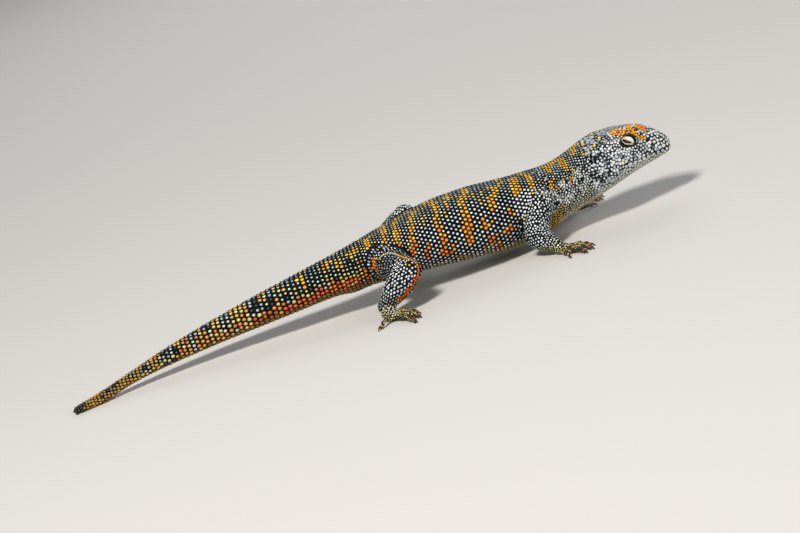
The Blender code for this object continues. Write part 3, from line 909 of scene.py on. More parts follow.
def lip_rows():
    """A row of plates above the line of the mouth and one below, on both sides."""
    path = mouth_path()
    corner = path[0] + (path[0] - path[1]) * 0.5
    line = np.array([corner, *path, Vector((LENGTH, 0.0, path[-1].z))])
    points = []
    for up, size, first in LIP_ROWS:
        row = places_along(line, np.arange(first, lengths_along(line)[-1] - 0.5, size))
        row[:, 2] += up
        points += [row, row * (1, -1, 1), np.array([(LENGTH - 0.2, 0.0, line[-1][2] + up)])]
    return np.concatenate(points)


def eye_rows():
    """Rings of small granules round the lids."""
    points = []
    for share, count in LID_RINGS:
        turn = 2 * np.pi * (np.arange(count) + 0.5) / count
        ring = np.stack([
            EYE.x + LIDS.x * share * np.cos(turn),
            np.full(count, EYE.y + LIDS.y * math.sqrt(max(0.0, 1 - 0.9 * share ** 2))),
            EYE.z + LIDS.z * share * np.sin(turn),
        ], 1)
        points += [ring, ring * (1, -1, 1)]
    return np.concatenate(points)


def curve_through(points, steps=5):
    """A smooth line through the given points."""
    points = [Vector(p) for p in points]
    ways = [(b - a) / 2 for a, b in zip(points[:1] + points[:-1], points[1:] + points[-1:])]
    line = []
    for a, b, way_a, way_b in zip(points, points[1:], ways, ways[1:]):
        for t in np.arange(steps) / steps:
            rise = t * t * (3 - 2 * t)
            line.append(a.lerp(b, rise) + way_a * (t * (1 - t) ** 2) - way_b * (t * t * (1 - t)))
    return np.array(line + [points[-1]])


def knee_rows(line):
    """A row of small scales along a line, and the way it runs at each."""
    line = curve_through(line)
    length = lengths_along(line)
    wanted = np.arange(0.3, length[-1], KNEE_PITCH)
    which = np.clip(np.searchsorted(length, wanted) - 1, 0, len(line) - 2)
    return places_along(line, wanted), np.diff(line, axis=0)[which]


def tree_of(points):
    tree = KDTree(len(points))
    for i, point in enumerate(points):
        tree.insert(point, i)
    tree.balance()
    return tree


def bare(points):
    """True in the slits of the mouth, ear and nostril and on the lids, which bear no scales."""
    mouth, eye = np.abs(mouth_gap(points)) < 0.26, eye_share(points) < 0.7
    return mouth | (ear_share(points) < 1.08) | (nostril_share(points) < 0.95) | eye


def fill_pitch(points, paddle, digit):
    """The wanted spacing of scales that follow no rows."""
    x = points[:, 0]
    angle = body_angle(points)
    neck = step(136, 140, x) * (1 - step(151, 154, x))
    head = step(152, 155, x)
    crown = head * step(62, 74, angle) * (1 - step(170, 173, x))
    pitch = np.where((x > TAIL_END) & (x < 136), 1.02, 0.84)
    pitch = pitch - 0.17 * neck + 0.05 * head + 0.25 * crown
    pitch = pitch * (1 + (0.22 + 0.2 * head) * (RANDOM.random(len(x)) - 0.5))
    pitch = np.where(x < TAIL_END, np.maximum(pitch, tail_length(x)), pitch)
    pitch = np.where(eye_share(points) < 1.5, 0.62, pitch)
    pitch = np.where(paddle > 0.5, 0.66, pitch)
    return np.where(digit > 0.5, 0.58, pitch)


def paddle_mask(points):
    """1 on the palms and soles and 0 elsewhere."""
    mask = np.zeros(len(points))
    for limb in LIMBS:
        start = np.array(limb.end) * (1, 1, 0) + (0, 0, 1.2)
        end = start + np.array(heading_of(limb.heading)) * limb.paddle[0]
        away, _ = segment_distance(points, start, end)
        mask = np.maximum(mask, 1 - step(2.6, 3.0, away))
    return mask


def crowded(point, cells, cell, limit):
    """Whether a place in the cells round the point is nearer than limit, a squared distance."""
    for dx, dy, dz in NEIGHBOURS:
        for other in cells.get((cell[0] + dx, cell[1] + dy, cell[2] + dz), ()):
            gap = other - point
            if gap @ gap < limit:
                return True
    return False


def thinned(points, pitch, roots):
    """The numbers of the points that stand clear of the roots and of the points taken before."""
    cells = {}
    for root in roots:
        cells.setdefault(tuple((root // CELL).astype(int)), []).append(root)
    chosen = []
    for i, point in enumerate(points):
        cell = tuple((point // CELL).astype(int))
        if not crowded(point, cells, cell, (ROOM * pitch[i]) ** 2):
            chosen.append(i)
            cells.setdefault(cell, []).append(point)
    return chosen


class Coat:
    """All the scales: where each stands, which way it lies, and the kind of place it is on."""

    def __init__(self, ground):
        self.ground = ground
        self.roots = np.empty((0, 3))
        self.normals = np.empty((0, 3))
        self.lies = np.empty((0, 3))
        self.pitch = np.empty(0)
        self.kind = np.empty(0, dtype=int)
        self.filled = np.empty(0, dtype=bool)

    def add(self, points, lie, pitch, kind, outward=None, far=0.75, spare=0.62, filled=False):
        """Adds those of the points that lie on the skin and away from the scales already there."""
        spots, normals, away = self.ground.nearest(points)
        pitch = np.broadcast_to(np.asarray(pitch, dtype=float), (len(points),))
        lie = np.broadcast_to(np.asarray(lie, dtype=float), (len(points), 3))
        keep = (away < far) & ~bare(spots)
        if outward is not None:
            keep &= (outward * normals).sum(1) > 0.25
        if len(self.roots):
            tree = tree_of(self.roots)
            for i in np.nonzero(keep)[0]:
                keep[i] = tree.find(spots[i])[2] >= spare * pitch[i]
        added = dict(roots=spots[keep], normals=normals[keep], lies=lie[keep], pitch=pitch[keep],
                     kind=np.full(keep.sum(), kind), filled=np.full(keep.sum(), filled))
        for name, values in added.items():
            setattr(self, name, np.concatenate([getattr(self, name), values]))

    def fill(self):
        """Scattered scales wherever the rows leave the skin open."""
        points = self.ground.scattered(TRIES)
        points = points[~bare(points)]
        paddle, digit = paddle_mask(points), digit_mask(points)
        pitch = fill_pitch(points, paddle, digit)
        chosen = thinned(points, pitch, self.roots)
        points, pitch, paddle, digit = (v[chosen] for v in (points, pitch, paddle, digit))
        x = points[:, 0]
        kind = np.select((digit > 0.5, paddle > 0.5, x > HEAD_START, x < TAIL_END),
                         (DIGIT_PART, LIMB_PART, HEAD_PART, TAIL_PART), BODY)
        for value in np.unique(kind):
            some = kind == value
            lie = DOWN_AND_BACK if value == BODY else BACKWARDS
            self.add(points[some], lie, pitch[some], value, spare=0.0, filled=True)

    def relax(self, times):
        """Scattered scales shift until they are evenly spaced."""
        movable = np.nonzero(self.filled)[0]
        for _ in range(times):
            tree = tree_of(self.roots)
            moved = self.roots.copy()
            for i in movable:
                reach = 1.25 * self.pitch[i]
                push = np.zeros(3)
                for spot, j, distance in tree.find_range(self.roots[i], reach):
                    if j != i and distance > 1e-6:
                        push += (self.roots[i] - np.array(spot)) / distance * (1 - distance / reach)
                moved[i] += push * 0.3 * self.pitch[i]
            spots, normals, _ = self.ground.nearest(moved[movable])
            stay = bare(spots)
            spots[stay] = self.roots[movable][stay]
            normals[stay] = self.normals[movable][stay]
            self.roots[movable], self.normals[movable] = spots, normals


def make_coat(ground):
    """All the scales, the rows first, so that the scattered ones fill what is left."""
    coat = Coat(ground)
    coat.add(lip_rows(), BACKWARDS, 1.3, HEAD_PART, far=1.3)
    coat.add(eye_rows(), BACKWARDS, 0.55, HEAD_PART, far=1.2, spare=0.8)
    for rows, kind in ((trunk_rows, BODY), (tail_rows, TAIL_PART)):
        points, pitch = rows()
        coat.add(points, BACKWARDS, pitch, kind)
    for line in KNEE_LINES:
        points, along = knee_rows(line)
        coat.add(points, along, KNEE_PITCH, LIMB_PART, far=1.6, spare=0.6)
    for limb in LIMBS:
        for part in (1, 0):
            points, outward, pitch, along = limb_rows(limb, part)
            coat.add(points, along, pitch, LIMB_PART, outward, spare=0.7)
        for index in range(5):
            points, outward, along = digit_rows(limb, index)
            coat.add(points, along, DIGIT_PITCH, DIGIT_PART, outward, far=0.45, spare=0.72)
    coat.fill()
    coat.relax(RELAX_TIMES)
    return coat


# Markings. A bar, streak or spot is a chain of places: x in mm and the angle round the body

def tone(red, green, blue):
    """A screen colour, 0 to 255, as linear light."""
    values = np.array((red, green, blue)) / 255.0
    return np.where(values <= 0.04045, values / 12.92, ((values + 0.055) / 1.055) ** 2.4)


BLACK = tone(8, 13, 18)
WHITE = tone(228, 234, 232)
BLUE_GREY = tone(140, 176, 192)
GOLD = tone(250, 178, 20)
ORANGE = tone(244, 128, 12)
RED_ORANGE = tone(222, 72, 14)
YELLOW = tone(224, 204, 70)
STRAW = tone(218, 212, 132)
OLIVE = tone(128, 122, 58)
BELLY = tone(190, 178, 118)
THROAT = tone(182, 190, 174)
PINK = tone(218, 184, 160)
CREAM = tone(240, 232, 212)

BARS = (
    (((120.4, 88), (119.2, 69), (118.0, 52), (117.8, 37), (117.4, 26), (117.8, 13), (116.0, 5),
      (116.2, -4), (116.3, -13)), 0.85),
    (((125.8, 70), (127.0, 56), (125.9, 45), (124.7, 33), (125.0, 22)), 0.85),
    (((121.5, 12), (121.3, 2)), 0.7),
    (((121.5, -14), (121.9, -20)), 0.8),
    (((123.5, -28), (122.9, -32)), 0.8),
    (((132.7, 76), (132.7, 59), (132.6, 47), (132.5, 35), (132.4, 27)), 0.9),
    (((128.7, 14), (128.9, 8)), 0.8),
    (((127.2, -9), (126.6, -13)), 0.9),
    (((135.9, 88), (137.1, 58), (136.5, 35)), 0.85),
    (((142.8, 74), (142.3, 60)), 0.8),
    (((142.5, 36), (142.3, 26)), 0.7),
    (((129.1, 88), (129.1, 64)), 0.5),
    (((114.5, 90), (114.3, 70), (113.8, 51)), 0.7),
    (((110.0, 6), (109.2, -5), (108.1, -17)), 0.7),
    (((111.9, -9), (109.1, -20)), 0.6),
    (((110.8, 88), (110.8, 53), (109.7, 28), (109.5, 13)), 0.65),
    (((104.4, 88), (104.4, 71), (103.2, 48), (101.8, 12), (100.5, -7)), 0.65),
    (((99.4, 88), (98.8, 55), (98.0, 22)), 0.65),
    (((95.5, 84), (95.2, 50), (95.0, 31)), 0.65),
    (((105.3, 4), (104.2, -14)), 0.7),
    (((151.6, 84), (150.2, 66)), 0.8),
    (((144.6, 88), (147.1, 65), (147.0, 43)), 0.75),
    (((147.1, 20), (147.0, 12)), 0.6),
    (((143.2, 20), (143.2, 14)), 0.5),
    (((90.6, 70), (90.2, 44), (91.0, 24)), 0.7),
    (((85.6, 54), (85.2, 44)), 0.9),
    (((81.4, 40), (81.0, 32)), 0.8),
    (((78.6, 60), (78.2, 50)), 0.95),
    (((70.4, 62), (70.2, 52)), 0.9),
    (((70.8, 30), (70.6, 24)), 0.7),
    (((65.4, 48), (65.2, 40)), 0.9),
    (((64.2, 28), (64.0, 22)), 0.7),
    (((90.4, 4), (88.0, -14)), 1.3),
    (((84.0, -18), (74.0, -22), (62.0, -18)), 0.9),
)
STREAKS = (
    (((121.9, 68), (121.1, 53), (122.4, 44)), 0.5),
    (((106.8, 60), (106.6, 38)), 0.45),
    (((123.6, 60), (122.6, 34)), 0.4),
    (((112.3, 40), (112.0, 24)), 0.4),
)
HEAD_ORANGE = (
    (((162.4, 60), (163.6, 57), (165.4, 53.5), (166.8, 52)), 1.4),
    (((166.6, 62), (167.2, 78)), 0.6),
    (((169.5, 73), (170.2, 65)), 1.1),
)
GOLD_STREAK = ((167.3, 46), (168.0, 36), (168.9, 28), (169.4, 26))
HEAD_SPOTS = (
    ((171.1, 36), 0.45, GOLD), ((161.1, -12), 0.62, STRAW), ((171.7, -22), 0.5, STRAW),
    ((156.1, 49), 0.5, YELLOW), ((154.2, 80), 0.55, GOLD), ((155.6, 73), 0.5, GOLD),
    ((153.9, 70), 0.5, GOLD), ((158.0, 60), 0.5, YELLOW), ((156.9, 86), 0.6, YELLOW),
    ((170.1, 17), 0.6, BLACK),
)
SHOULDERS = ((134.8, -9.5, 13.0), (137.0, 9.2, 13.0))
# The bright line over the thigh and down the front of the knee, where a row of small scales runs
KNEE_LINES = (
    ((91.6, -9.7, 14.0), (95.2, -11.2, 14.8), (98.6, -17.0, 13.3), (100.9, -19.7, 10.8),
     (98.7, -20.8, 7.1), (93.4, -21.5, 4.5)),
    ((97.0, 9.0, 16.4), (103.6, 12.0, 18.0), (105.4, 15.6, 16.2), (101.4, 18.6, 9.8),
     (97.4, 18.4, 6.6)),
)


def mixed(a, b, share):
    return a + (b - a) * np.asarray(share)[..., None]


def chain_distance(x, angle, chain, radius):
    """Distance in mm over the skin from places to a chain of places."""
    up = np.radians(angle) * radius
    best = np.full(len(x), 99.0)
    for (x0, a0), (x1, a1) in zip(chain, chain[1:]):
        start = math.radians(a0) * radius
        rise = math.radians(a1 - a0) * radius
        run = x1 - x0
        length = np.maximum(run * run + rise * rise, 1e-9)
        share = np.clip(((x - x0) * run + (up - start) * rise) / length, 0, 1)
        away = np.hypot(x - x0 - share * run, up - start - share * rise)
        best = np.minimum(best, away)
    return best


def line_distance(points, line):
    return np.min([segment_distance(points, a, b)[0] for a, b in zip(line, line[1:])], axis=0)


def shoulder_distance(points):
    return np.min([np.linalg.norm(points - shoulder, axis=1) for shoulder in SHOULDERS], axis=0)


class Look:
    """How each scale looks: the colours of its rim and spot, and the forms of both.

    ratio is the spot's size as a share of the scale's, aspect its length over its width, and shift
    how far it stands off the middle. height, flat, lift and keel shape the scale, and gap is the
    seam round it. plate lets the spot run out to the rim, and dash lets black marks cross it.
    """

    START = dict(ratio=0.5, aspect=1.0, shift=0.0, height=0.22, flat=3.0, lift=0.06, keel=0.0,
                 gap=0.03, plate=0.0, dash=0.0)

    def __init__(self, coat):
        count = len(coat.roots)
        self.kind, self.filled = coat.kind, coat.filled
        self.points, self.normals = coat.roots, coat.normals
        self.rim, self.spot = np.tile(BLACK, (count, 1)), np.tile(WHITE, (count, 1))
        for name, value in self.START.items():
            setattr(self, name, np.full(count, value))
        self.luck = RANDOM.random((count, 5))

    def set(self, mask, **values):
        """Gives the scales under the mask new values, each one value for all or one for each."""
        for name, value in values.items():
            own = getattr(self, name)
            each = isinstance(value, np.ndarray) and value.shape[:1] == mask.shape
            own[mask] = value[mask] if each else value


class Dashes:
    """A smooth random field: the sum of waves in random directions."""

    def __init__(self, length, stretch=(1.0, 1.0, 1.0), count=90):
        ways = RANDOM.normal(0, 1, (count, 3))
        ways /= np.linalg.norm(ways, axis=1, keepdims=True)
        size = 2 * np.pi / length * (0.75 + 0.5 * RANDOM.random((count, 1)))
        self.waves = ways * size * np.array(stretch)
        self.start = RANDOM.random(count) * 2 * np.pi

    def value(self, points):
        """About normal, with a spread of 1."""
        phase = points @ self.waves.T + self.start
        return np.cos(phase).sum(1) * math.sqrt(2 / len(self.start))


def paint_trunk(look, x, angle):
    """White and blue-grey beads, golden flecks on the back and hip, and the olive belly."""
    luck = look.luck.T
    body = look.kind == BODY
    back = step(28, 60, angle)
    low = 1 - step(-12, 20, angle)
    pale = mixed(WHITE, BLUE_GREY, np.clip(0.05 + 0.75 * back + 0.5 * (luck[0] - 0.5), 0, 1))
    look.set(body, spot=pale, aspect=1.15 + 0.5 * back, height=0.24 - 0.12 * back,
             lift=0.09 - 0.05 * back,
             ratio=0.41 + 0.05 * low - 0.04 * back + 0.12 * (luck[1] - 0.5))
    arm = shoulder_distance(look.points)
    look.set(body & (arm < 4.6), ratio=0.48 + 0.12 * luck[1], spot=WHITE, aspect=1.2)
    pale = mixed(YELLOW, GOLD, luck[0])
    flecks = Dashes(3.4, (1.3, 0.6, 0.6)).value(look.points)
    look.set(body & (flecks > 1.25) & (angle > 42) & (luck[2] > 0.25), spot=pale, ratio=0.46)
    hip = 0.2 * (1 - step(92, 101, x)) * step(15, 30, angle)
    look.set(body & (luck[1] > 0.97 - hip) & (angle > -25), spot=pale * 0.9)
    under = body & (angle < -36 + 5 * np.sin(x * 0.9) + 10 * (luck[0] - 0.5))
    tint = mixed(OLIVE, BELLY, np.clip(luck[1] * 0.8 + step(45, 62, -angle), 0, 1))
    look.set(under, spot=tint, ratio=0.66 + 0.1 * luck[2], aspect=1.0, rim=tone(52, 50, 30),
             height=0.16)


def paint_tail(look, x, angle):
    """Cream and blue beads, then blocks of gold and dark, rust low on the side, ochre below."""
    luck = look.luck.T
    tail = look.kind == TAIL_PART
    tip = 1 - step(12, 38, x)
    base = step(52, 72, x)
    back = step(40, 70, angle)
    wave = np.sin(2 * np.pi * (x / 6.2 + 0.25 * np.sin(x * 0.31)))
    wave = wave + 0.4 * np.sin(angle / 26 + x * 0.5)
    low = 1 - step(-4, 14, angle + 10 * (luck[1] - 0.5))
    golden = luck[0] < 0.5 + 0.55 * wave * (1 - 0.6 * base) - 0.3 * base + 0.2 * tip + 0.4 * low
    gold = mixed(tone(216, 194, 104), tone(204, 148, 48), step(0.2, 0.7, luck[2] + 0.2 * tip))
    gold = mixed(gold, tone(204, 110, 34), 0.8 * (luck[4] > 0.82))
    cool = mixed(tone(212, 220, 196), tone(136, 168, 182), np.clip(luck[2] + 0.4 * back, 0, 1))
    spot = np.where(golden[:, None], gold, cool * (1 - 0.35 * (tip + 0.5 * back))[:, None])
    ratio = 0.6 - 0.12 * base + 0.16 * tip + 0.1 * low + 0.1 * (luck[1] - 0.5)
    look.set(tail, spot=spot, aspect=1.15, height=0.3 - 0.1 * back, lift=0.15, keel=0.09,
             rim=tone(9, 15, 15), ratio=np.where(golden, ratio, ratio - 0.1))
    blank = tail & ~golden & (wave < 0) & (luck[3] < 0.4 - 0.3 * base)
    look.set(blank, ratio=0.3, spot=tone(84, 96, 84))
    rust = mixed(tone(208, 98, 28), tone(176, 62, 20), luck[4])
    look.set(tail & (angle < -8 - 8 * luck[1]) & (angle > -42) & (x > 54) & (x < 86), spot=rust,
             ratio=0.66)
    under = tail & (angle < -30 - 8 * luck[1])
    look.set(under, spot=mixed(tone(158, 124, 50), tone(116, 86, 36), luck[2]), ratio=0.78,
             rim=tone(52, 40, 20), keel=0.0, lift=0.08)
    look.set(tail & (x < 30), spot=mixed(look.spot, tone(150, 112, 40), 0.6 * tip))
    look.set(tail & (x < 2.6 + 1.5 * luck[2]), spot=tone(66, 66, 50), rim=tone(26, 28, 24),
             ratio=0.8)


def paint_bars(look, x, angle, right):
    """The wavy bars and streaks of the back and sides; on the left they stand a little apart."""
    luck = look.luck.T
    trunk = (look.kind == BODY) | ((look.kind == TAIL_PART) & (x > 60))
    radius = np.interp(x, (60, 88, 104, 120, 133, 145, 152), (5, 7, 10, 11, 10, 8, 8))
    shift = np.where(right, 0.0, 1.6 * np.sin(x * 0.37) + 0.9) + 0.22 * np.sin(angle * 0.35 + x)
    best = np.full(len(x), 9.0)
    for chain, width in BARS:
        best = np.minimum(best, chain_distance(x + shift, angle, chain, radius) / width)
    arm = shoulder_distance(look.points)
    inside = trunk & (best < 1.14 + 0.5 * (luck[2] - 0.5)) & (arm > 4.2)
    warm = np.clip(0.62 - angle / 85 - 0.25 * best + 0.5 * (luck[3] - 0.5), 0, 1)
    hot = mixed(GOLD, ORANGE, np.clip(warm * 2, 0, 1))
    hot = mixed(hot, RED_ORANGE, np.clip(warm * 2 - 1, 0, 1))
    hot = mixed(hot, YELLOW, 0.5 * (best > 0.75) * (luck[4] > 0.5))
    look.set(inside, spot=hot, ratio=0.6 + 0.12 * luck[4], aspect=1.05 + 0.4 * step(30, 60, angle))
    look.set(inside & (x < 84), aspect=1.2)
    for chain, width in STREAKS:
        near = chain_distance(x + shift, angle, chain, radius) < width
        look.set(near & trunk & ~inside, spot=mixed(YELLOW, GOLD, luck[0]), ratio=0.52)


def paint_neck(look, x, angle):
    """The neck's fine mottling, denser in its folds as painted shade, the nape's flecks, chest and
    throat.
    """
    luck = look.luck.T
    neck = (look.kind == BODY) & look.filled & (x > 136)
    # Painted shade: over the random mottling, more of the dark scales fall in the neck's folds.
    fold_shade = 0.5 + 0.5 * np.sin(x * 2.1 + 0.05 * angle)
    dark = luck[1] < 0.18 + 0.22 * fold_shade
    look.set(neck, spot=mixed(WHITE, THROAT, luck[2]), ratio=0.54 + 0.12 * luck[3], aspect=1.5,
             height=0.15, lift=0.03, dash=1.1 * step(138, 142, x), gap=0.01, plate=0.7,
             rim=mixed(tone(110, 118, 116), tone(206, 208, 200), 0.5 + 0.5 * luck[4]))
    look.set(neck & dark & (x < 143), ratio=0.3, spot=tone(52, 62, 64))
    nape = (look.kind == BODY) & (x > 139) & (angle > 24)
    flecks = Dashes(3.0, (1.4, 0.7, 0.7)).value(look.points)
    look.set(nape, spot=mixed(tone(96, 122, 130), WHITE, luck[2]), ratio=0.42 + 0.12 * luck[3])
    look.set(nape & (flecks > 0.85), spot=mixed(YELLOW, GOLD, luck[0]), ratio=0.62,
             rim=tone(60, 46, 12), dash=0.3)
    low = (look.kind == BODY) & (x > 133) & (angle < -16 - 10 * luck[0])
    tint = mixed(mixed(YELLOW * 0.7, ORANGE, luck[1] ** 2), THROAT, step(140.5, 145.5, x) * 0.9)
    look.set(low, spot=tint, ratio=0.6 + 0.15 * luck[3], aspect=1.1, rim=tone(46, 50, 34),
             height=0.16, dash=0.5)
    chin = (look.kind == BODY) & (x > 141) & (angle < -44 - 8 * luck[0])
    look.set(chin, spot=mixed(THROAT, PINK, 0.2 + 0.7 * luck[1]), ratio=0.78,
             rim=tone(104, 100, 84), dash=0.0)


def dash_marks(look, points, colour):
    """Black patches of seams and thin black lines, on the head and the side of the neck."""
    x = look.points[:, 0]
    head = look.kind == HEAD_PART
    side = (look.kind == BODY) & look.filled & (x > 138)
    for mask, length, stretch in ((head, 2.2, (0.85, 1.0, 1.1)), (side, 2.1, (1.5, 1.0, 0.6))):
        joins, lines, breaks = Dashes(length, stretch), Dashes(0.72 * length, stretch), Dashes(2.0)
        some = np.nonzero(mask & (look.dash > 0.02))[0]
        less = 1 - look.dash[some, None]
        flat = points[some].reshape(-1, 3)
        join = joins.value(flat).reshape(len(some), -1) + 1.4 * less + 0.02
        join = np.clip(0.5 + 5.0 * join, 0, 1)[:, :3 * SIDES, None]
        colour[some, :3 * SIDES] = BLACK + (colour[some, :3 * SIDES] - BLACK) * join
        line = np.abs(lines.value(flat)) - 0.16 - 0.24 * np.clip(breaks.value(flat), -2, 0.7)
        line = np.clip(0.5 - 6.0 * (line.reshape(len(some), -1) + 0.5 * less), 0, 1)
        colour[some] += (BLACK - colour[some]) * line[:, :, None]


def paint_head(look, x, angle):
    """Pale plates on the head, darker at the temples and the back of the crown, and the chin."""
    luck = look.luck.T
    head = look.kind == HEAD_PART
    crown = step(50, 66, angle)
    low = 1 - step(-42, -20, angle)
    rear = 1 - step(157, 163, x)
    pale = mixed(tone(230, 233, 230), tone(184, 192, 204),
                 np.clip(0.3 + 0.4 * crown + (luck[1] - 0.5), 0, 1))
    look.set(head, spot=mixed(pale, THROAT, 0.7 * low), ratio=0.64 + 0.2 * low, plate=1.0,
             height=0.11, gap=0.002, flat=6.0, lift=0.0,
             rim=mixed(0.92 * pale, tone(140, 142, 128), 0.7 * low))
    look.set(head, dash=1.1 + 0.15 * rear - 0.6 * low - 0.2 * crown)
    temple = head & (angle > 40) & (x < 160.5)
    fleck = mixed(tone(146, 132, 62), tone(206, 170, 60), luck[2])
    look.set(temple, spot=mixed(tone(84, 98, 108), tone(196, 204, 206), luck[1]), dash=1.35)
    look.set(temple & (luck[0] > 0.8), spot=fleck, dash=0.6)
    chin = head & (angle < -50)
    look.set(chin, spot=mixed(THROAT, PINK, 0.3 + 0.6 * luck[1]), ratio=0.84,
             rim=tone(132, 126, 106))
    occiput = head & (angle > 70) & (x > 158.5) & (x < 167.0)
    look.set(occiput, spot=mixed(tone(120, 126, 136), tone(182, 178, 184), luck[1]), ratio=0.86,
             rim=tone(52, 58, 62), height=0.1, dash=0.35)
    front = head & (x > 171.5) & (angle > -20)
    look.set(front, spot=mixed(tone(214, 214, 206), tone(236, 234, 218), luck[1]), dash=0.8)
    paint_head_marks(look, x, angle, head)


def paint_head_marks(look, x, angle, head):
    """The orange patches, the golden streak, the single spots, and the dark ring round the lids."""
    luck = look.luck.T
    radius = np.interp(x, (152, 160, 168, 176), (8.5, 8.2, 6.0, 3.0))
    for chain, width in HEAD_ORANGE:
        near = chain_distance(x, angle, chain, radius) < width + 0.25 * (luck[3] - 0.5)
        hot = mixed(GOLD, ORANGE, np.clip(0.5 * (x > 168.8) + luck[2], 0, 1))
        look.set(head & near, spot=hot, ratio=0.88, rim=tone(178, 96, 14), dash=0.3)
    near = chain_distance(x, angle, GOLD_STREAK, radius) < 0.5
    look.set(head & near, spot=GOLD * 0.9, ratio=0.88, rim=tone(150, 106, 20), dash=0.2)
    for centre, size, colour in HEAD_SPOTS:
        near = head & (chain_distance(x, angle, (centre, centre), radius) < size)
        look.set(near, spot=colour, ratio=0.86, rim=colour * 0.5, dash=0.0)
    ring = head & (eye_share(look.points) < 0.84)
    look.set(ring, spot=mixed(tone(40, 42, 28), tone(84, 82, 54), luck[1]), height=0.12, ratio=0.6,
             rim=tone(14, 14, 11), dash=0.0)


def paint_limbs(look):
    """White granules on the limbs, the legs' own, olive ones below, and straw palms and soles."""
    luck = look.luck.T
    limb = (look.kind == LIMB_PART) | (look.kind == DIGIT_PART)
    look.set(limb, spot=mixed(WHITE, THROAT, 0.5 * luck[0]), ratio=0.47 + 0.2 * luck[1],
             aspect=1.1 + 0.5 * luck[2], height=0.18, lift=0.05)
    look.set(limb & (luck[3] < 0.07), ratio=0.25)
    for leg in LEGS:
        paint_leg(look, limb, leg)
    under = limb & (look.normals[:, 2] < -0.45)
    look.set(under, spot=mixed(BELLY, OLIVE, luck[1]), ratio=0.74, rim=tone(84, 78, 48))
    look.set(limb, shift=0.16 * luck[4])
    paddle = (look.kind == LIMB_PART) & (paddle_mask(look.points) > 0.5) & ~under
    look.set(paddle, spot=mixed(tone(216, 222, 202), tone(206, 192, 126), luck[0]),
             ratio=0.58 + 0.18 * luck[1], height=0.12)
    paint_digits(look)
    paint_knee_lines(look, limb)


def paint_leg(look, limb, leg):
    """Long grey scales on the thigh, white ones on the knee, and ankle spots darkened low down as
    painted shade.
    """
    luck = look.luck.T
    points = look.points
    upper, _ = segment_distance(points, leg.root, leg.bend)
    lower, _ = segment_distance(points, leg.bend, leg.end)
    thigh = limb & (upper < lower) & (upper < 9)
    grey = mixed(tone(120, 132, 132), tone(196, 206, 202), luck[0])
    look.set(thigh, spot=grey, ratio=0.5 + 0.14 * luck[1], aspect=2.4)
    knee = limb & (np.linalg.norm(points - np.array(leg.bend), axis=1) < 5.0)
    look.set(knee, spot=WHITE, ratio=0.48 + 0.16 * luck[1], aspect=1.35)
    ankle = limb & (lower < upper) & (points[:, 2] < 6.5)
    # Painted shade: the ankle's spots darken towards the ground.
    shade = 1 - 0.35 * step(6.5, 3.5, points[:, 2])
    look.set(ankle, spot=tone(196, 206, 200) * shade[:, None], ratio=0.42 + 0.14 * luck[1],
             aspect=1.7)


def paint_digits(look):
    """Straw to golden plates on the fingers and toes, with dark bands."""
    luck = look.luck.T
    points = look.points
    band = np.sin(points[:, 0] * 2.6 + points[:, 1] * 1.7) + 0.8 * (luck[0] - 0.5)
    pale = mixed(tone(222, 214, 166), tone(206, 168, 78), luck[1])
    spot = np.where((band > -0.6)[:, None], pale, tone(78, 72, 48)[None, :])
    look.set(look.kind == DIGIT_PART, spot=spot, ratio=0.72, height=0.1, lift=0.03,
             rim=tone(38, 38, 26), aspect=1.0, gap=0.02)


def paint_knee_lines(look, limb):
    """The bright line over each thigh and knee: pale at the hip, golden, and red-orange below."""
    points, luck = look.points, look.luck.T
    for leg, line in zip(LEGS, KNEE_LINES):
        far = np.linalg.norm(points - np.array(leg.root), axis=1)
        low = step(11.0, 7.5, points[:, 2])
        edge = limb & (line_distance(points, curve_through(line)) < 0.5 + 0.35 * low)
        hot = mixed(tone(190, 190, 150), tone(226, 160, 40), step(7.5, 12.0, far))
        below = mixed(ORANGE, RED_ORANGE, 0.4 + 0.6 * luck[0])
        hot = mixed(hot, below, step(12.0, 8.5, points[:, 2]))
        look.set(edge, spot=hot, ratio=0.86, rim=hot * 0.4, aspect=1.0)


def make_look(coat):
    """The looks of all the scales: part by part, painted shade in the grooves, then lightness and
    highlight.
    """
    look = Look(coat)
    x = look.points[:, 0]
    angle = body_angle(look.points)
    right = look.points[:, 1] < section(x)[3]
    paint_trunk(look, x, angle)
    paint_tail(look, x, angle)
    paint_neck(look, x, angle)
    paint_bars(look, x, angle, right)
    paint_head(look, x, angle)
    paint_limbs(look)
    shaded_groove = groove_mask(look.points, body_tree())
    trunk = (look.kind == BODY) | (look.kind == LIMB_PART)
    limit = np.where(x > BETWEEN_LIMBS, 0.93, 0.8)
    # Painted shade: scales deep in the grooves where the limbs leave the body get small grey spots,
    # so their black rims show.
    look.set(trunk & (shaded_groove > limit) & (look.ratio < 0.8), ratio=0.28, spot=tone(84, 92, 94))
    light = 0.84 + 0.3 * look.luck[:, 3]
    look.spot = np.clip(look.spot * light[:, None], 0, 0.9)
    # Painted highlight: each scale's middle and tip get a lighter copy of its spot.
    look.core = np.clip(look.spot * 1.15 + 0.01, 0, 0.95)
    return look


# Scales: each has five rings of points, from its sunken rim inwards, and a tip

SIDES = 12
RINGS = 5
SUNK = 0.07
LEAST_REACH = 0.12
# How many neighbours bound a scale, and how sharply they do so
NEAR = 12
POWER = 8.0
# Half width of a scale's own patch on the unwrap
PATCH = 0.0015


